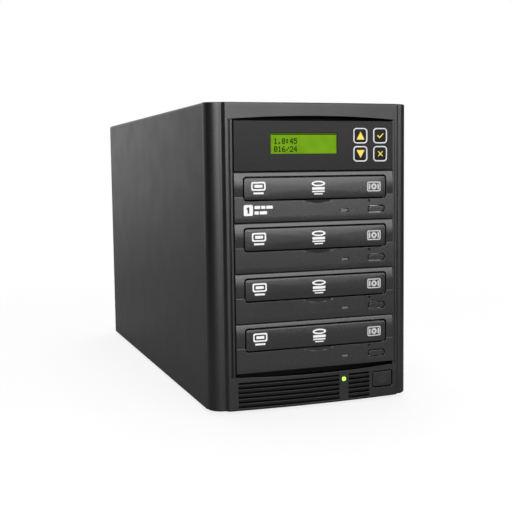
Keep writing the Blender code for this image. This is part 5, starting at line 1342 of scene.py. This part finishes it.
def add_light(name, place, target, size, power):
    """A rectangular soft light at a place, turned to a target."""
    data = bpy.data.lights.new(name, "AREA")
    data.shape = "RECTANGLE"
    data.size, data.size_y = size
    data.energy = power
    forward = np.array(target, float) - np.array(place, float)
    forward /= np.linalg.norm(forward)
    right = np.cross(forward, (0, 0, 1))
    right /= np.linalg.norm(right)
    stand(name, data, place, right, np.cross(right, forward), forward)


def make_surround():
    """White to the camera all round. Gloss sees white behind the object and dimness on the camera's side."""
    world = bpy.data.worlds.new("surround")
    bpy.context.scene.world = world
    world.use_nodes = True
    tree = world.node_tree

    def combined(operation, first, second):
        """Two values joined by an operation."""
        node = add_node(tree, "Math", operation=operation)
        tree.links.new(first, node.inputs[0])
        tree.links.new(second, node.inputs[1])
        return node.outputs[0]

    white = fill(tree.nodes["Background"], Color=(1, 1, 1, 1), Strength=1.0)
    room = add_node(tree, "Background", Color=ROOM_COLOUR, Strength=1.0)
    path = add_node(tree, "LightPath").outputs
    parts = add_node(tree, "SeparateXYZ", Vector=add_node(tree, "TexCoord").outputs["Generated"]).outputs
    behind = ranged(tree, parts["Y"], BACKDROP_START, (0, 1))
    above = ranged(tree, parts["Z"], BACKDROP_FOOT, (0, 1))
    mirrored = combined("MAXIMUM", path["Is Glossy Ray"], path["Is Transmission Ray"])
    backdrop = combined("MULTIPLY", mirrored, combined("MULTIPLY", above, behind))
    mix = add_node(tree, "MixShader", Fac=combined("MAXIMUM", path["Is Camera Ray"], backdrop))
    tree.links.new(room.outputs[0], mix.inputs[1])
    tree.links.new(white.outputs[0], mix.inputs[2])
    fill(tree.nodes["World Output"], Surface=mix.outputs[0])


def make_floor():
    """A round pale sheet under the object. It fades into the surround between two radii."""
    turn = circle(RING_STEPS)
    points = np.column_stack([FLOOR_RADIUS * np.cos(turn), FLOOR_RADIUS * np.sin(turn), 0 * turn])
    mesh = bpy.data.meshes.new("floor")
    mesh.from_pydata(points.tolist(), [], [tuple(range(RING_STEPS))])
    paper, tree, shader = new_material("floor_paper")
    away = add_node(tree, "VectorMath", operation="LENGTH")
    tree.links.new(add_node(tree, "TexCoord").outputs["Object"], away.inputs[0])
    fade = ranged(tree, away.outputs["Value"], (FLOOR_SOLID, FLOOR_RADIUS), (FLOOR_ALPHA, 0),
                  interpolation_type="SMOOTHSTEP")
    fill(shader, **{"Base Color": FLOOR_COLOUR, "Specular IOR Level": FLOOR_SPECULAR},
         Roughness=FLOOR_ROUGHNESS, Alpha=fade)
    mesh.materials.append(paper)
    floor = bpy.data.objects.new("floor", mesh)
    bpy.context.scene.collection.objects.link(floor)


make_materials()
make_camera()
make_surround()
for light in LIGHTS:
    add_light(*light)
make_floor()
dress_nodes()
make_front_bezel()
make_bay_rims()
make_power_button()
make_wrap_cover()
for drive in DRIVES:
    make_faceplate(drive)
    make_drive_front(drive)
make_panel()
print_badge()
make_power_light()
make_fan_guard()
make_supply_screws()
make_thumbscrew("left")
make_thumbscrew("right")
refine_nodes()

bpy.context.scene.view_settings.view_transform = "Standard"
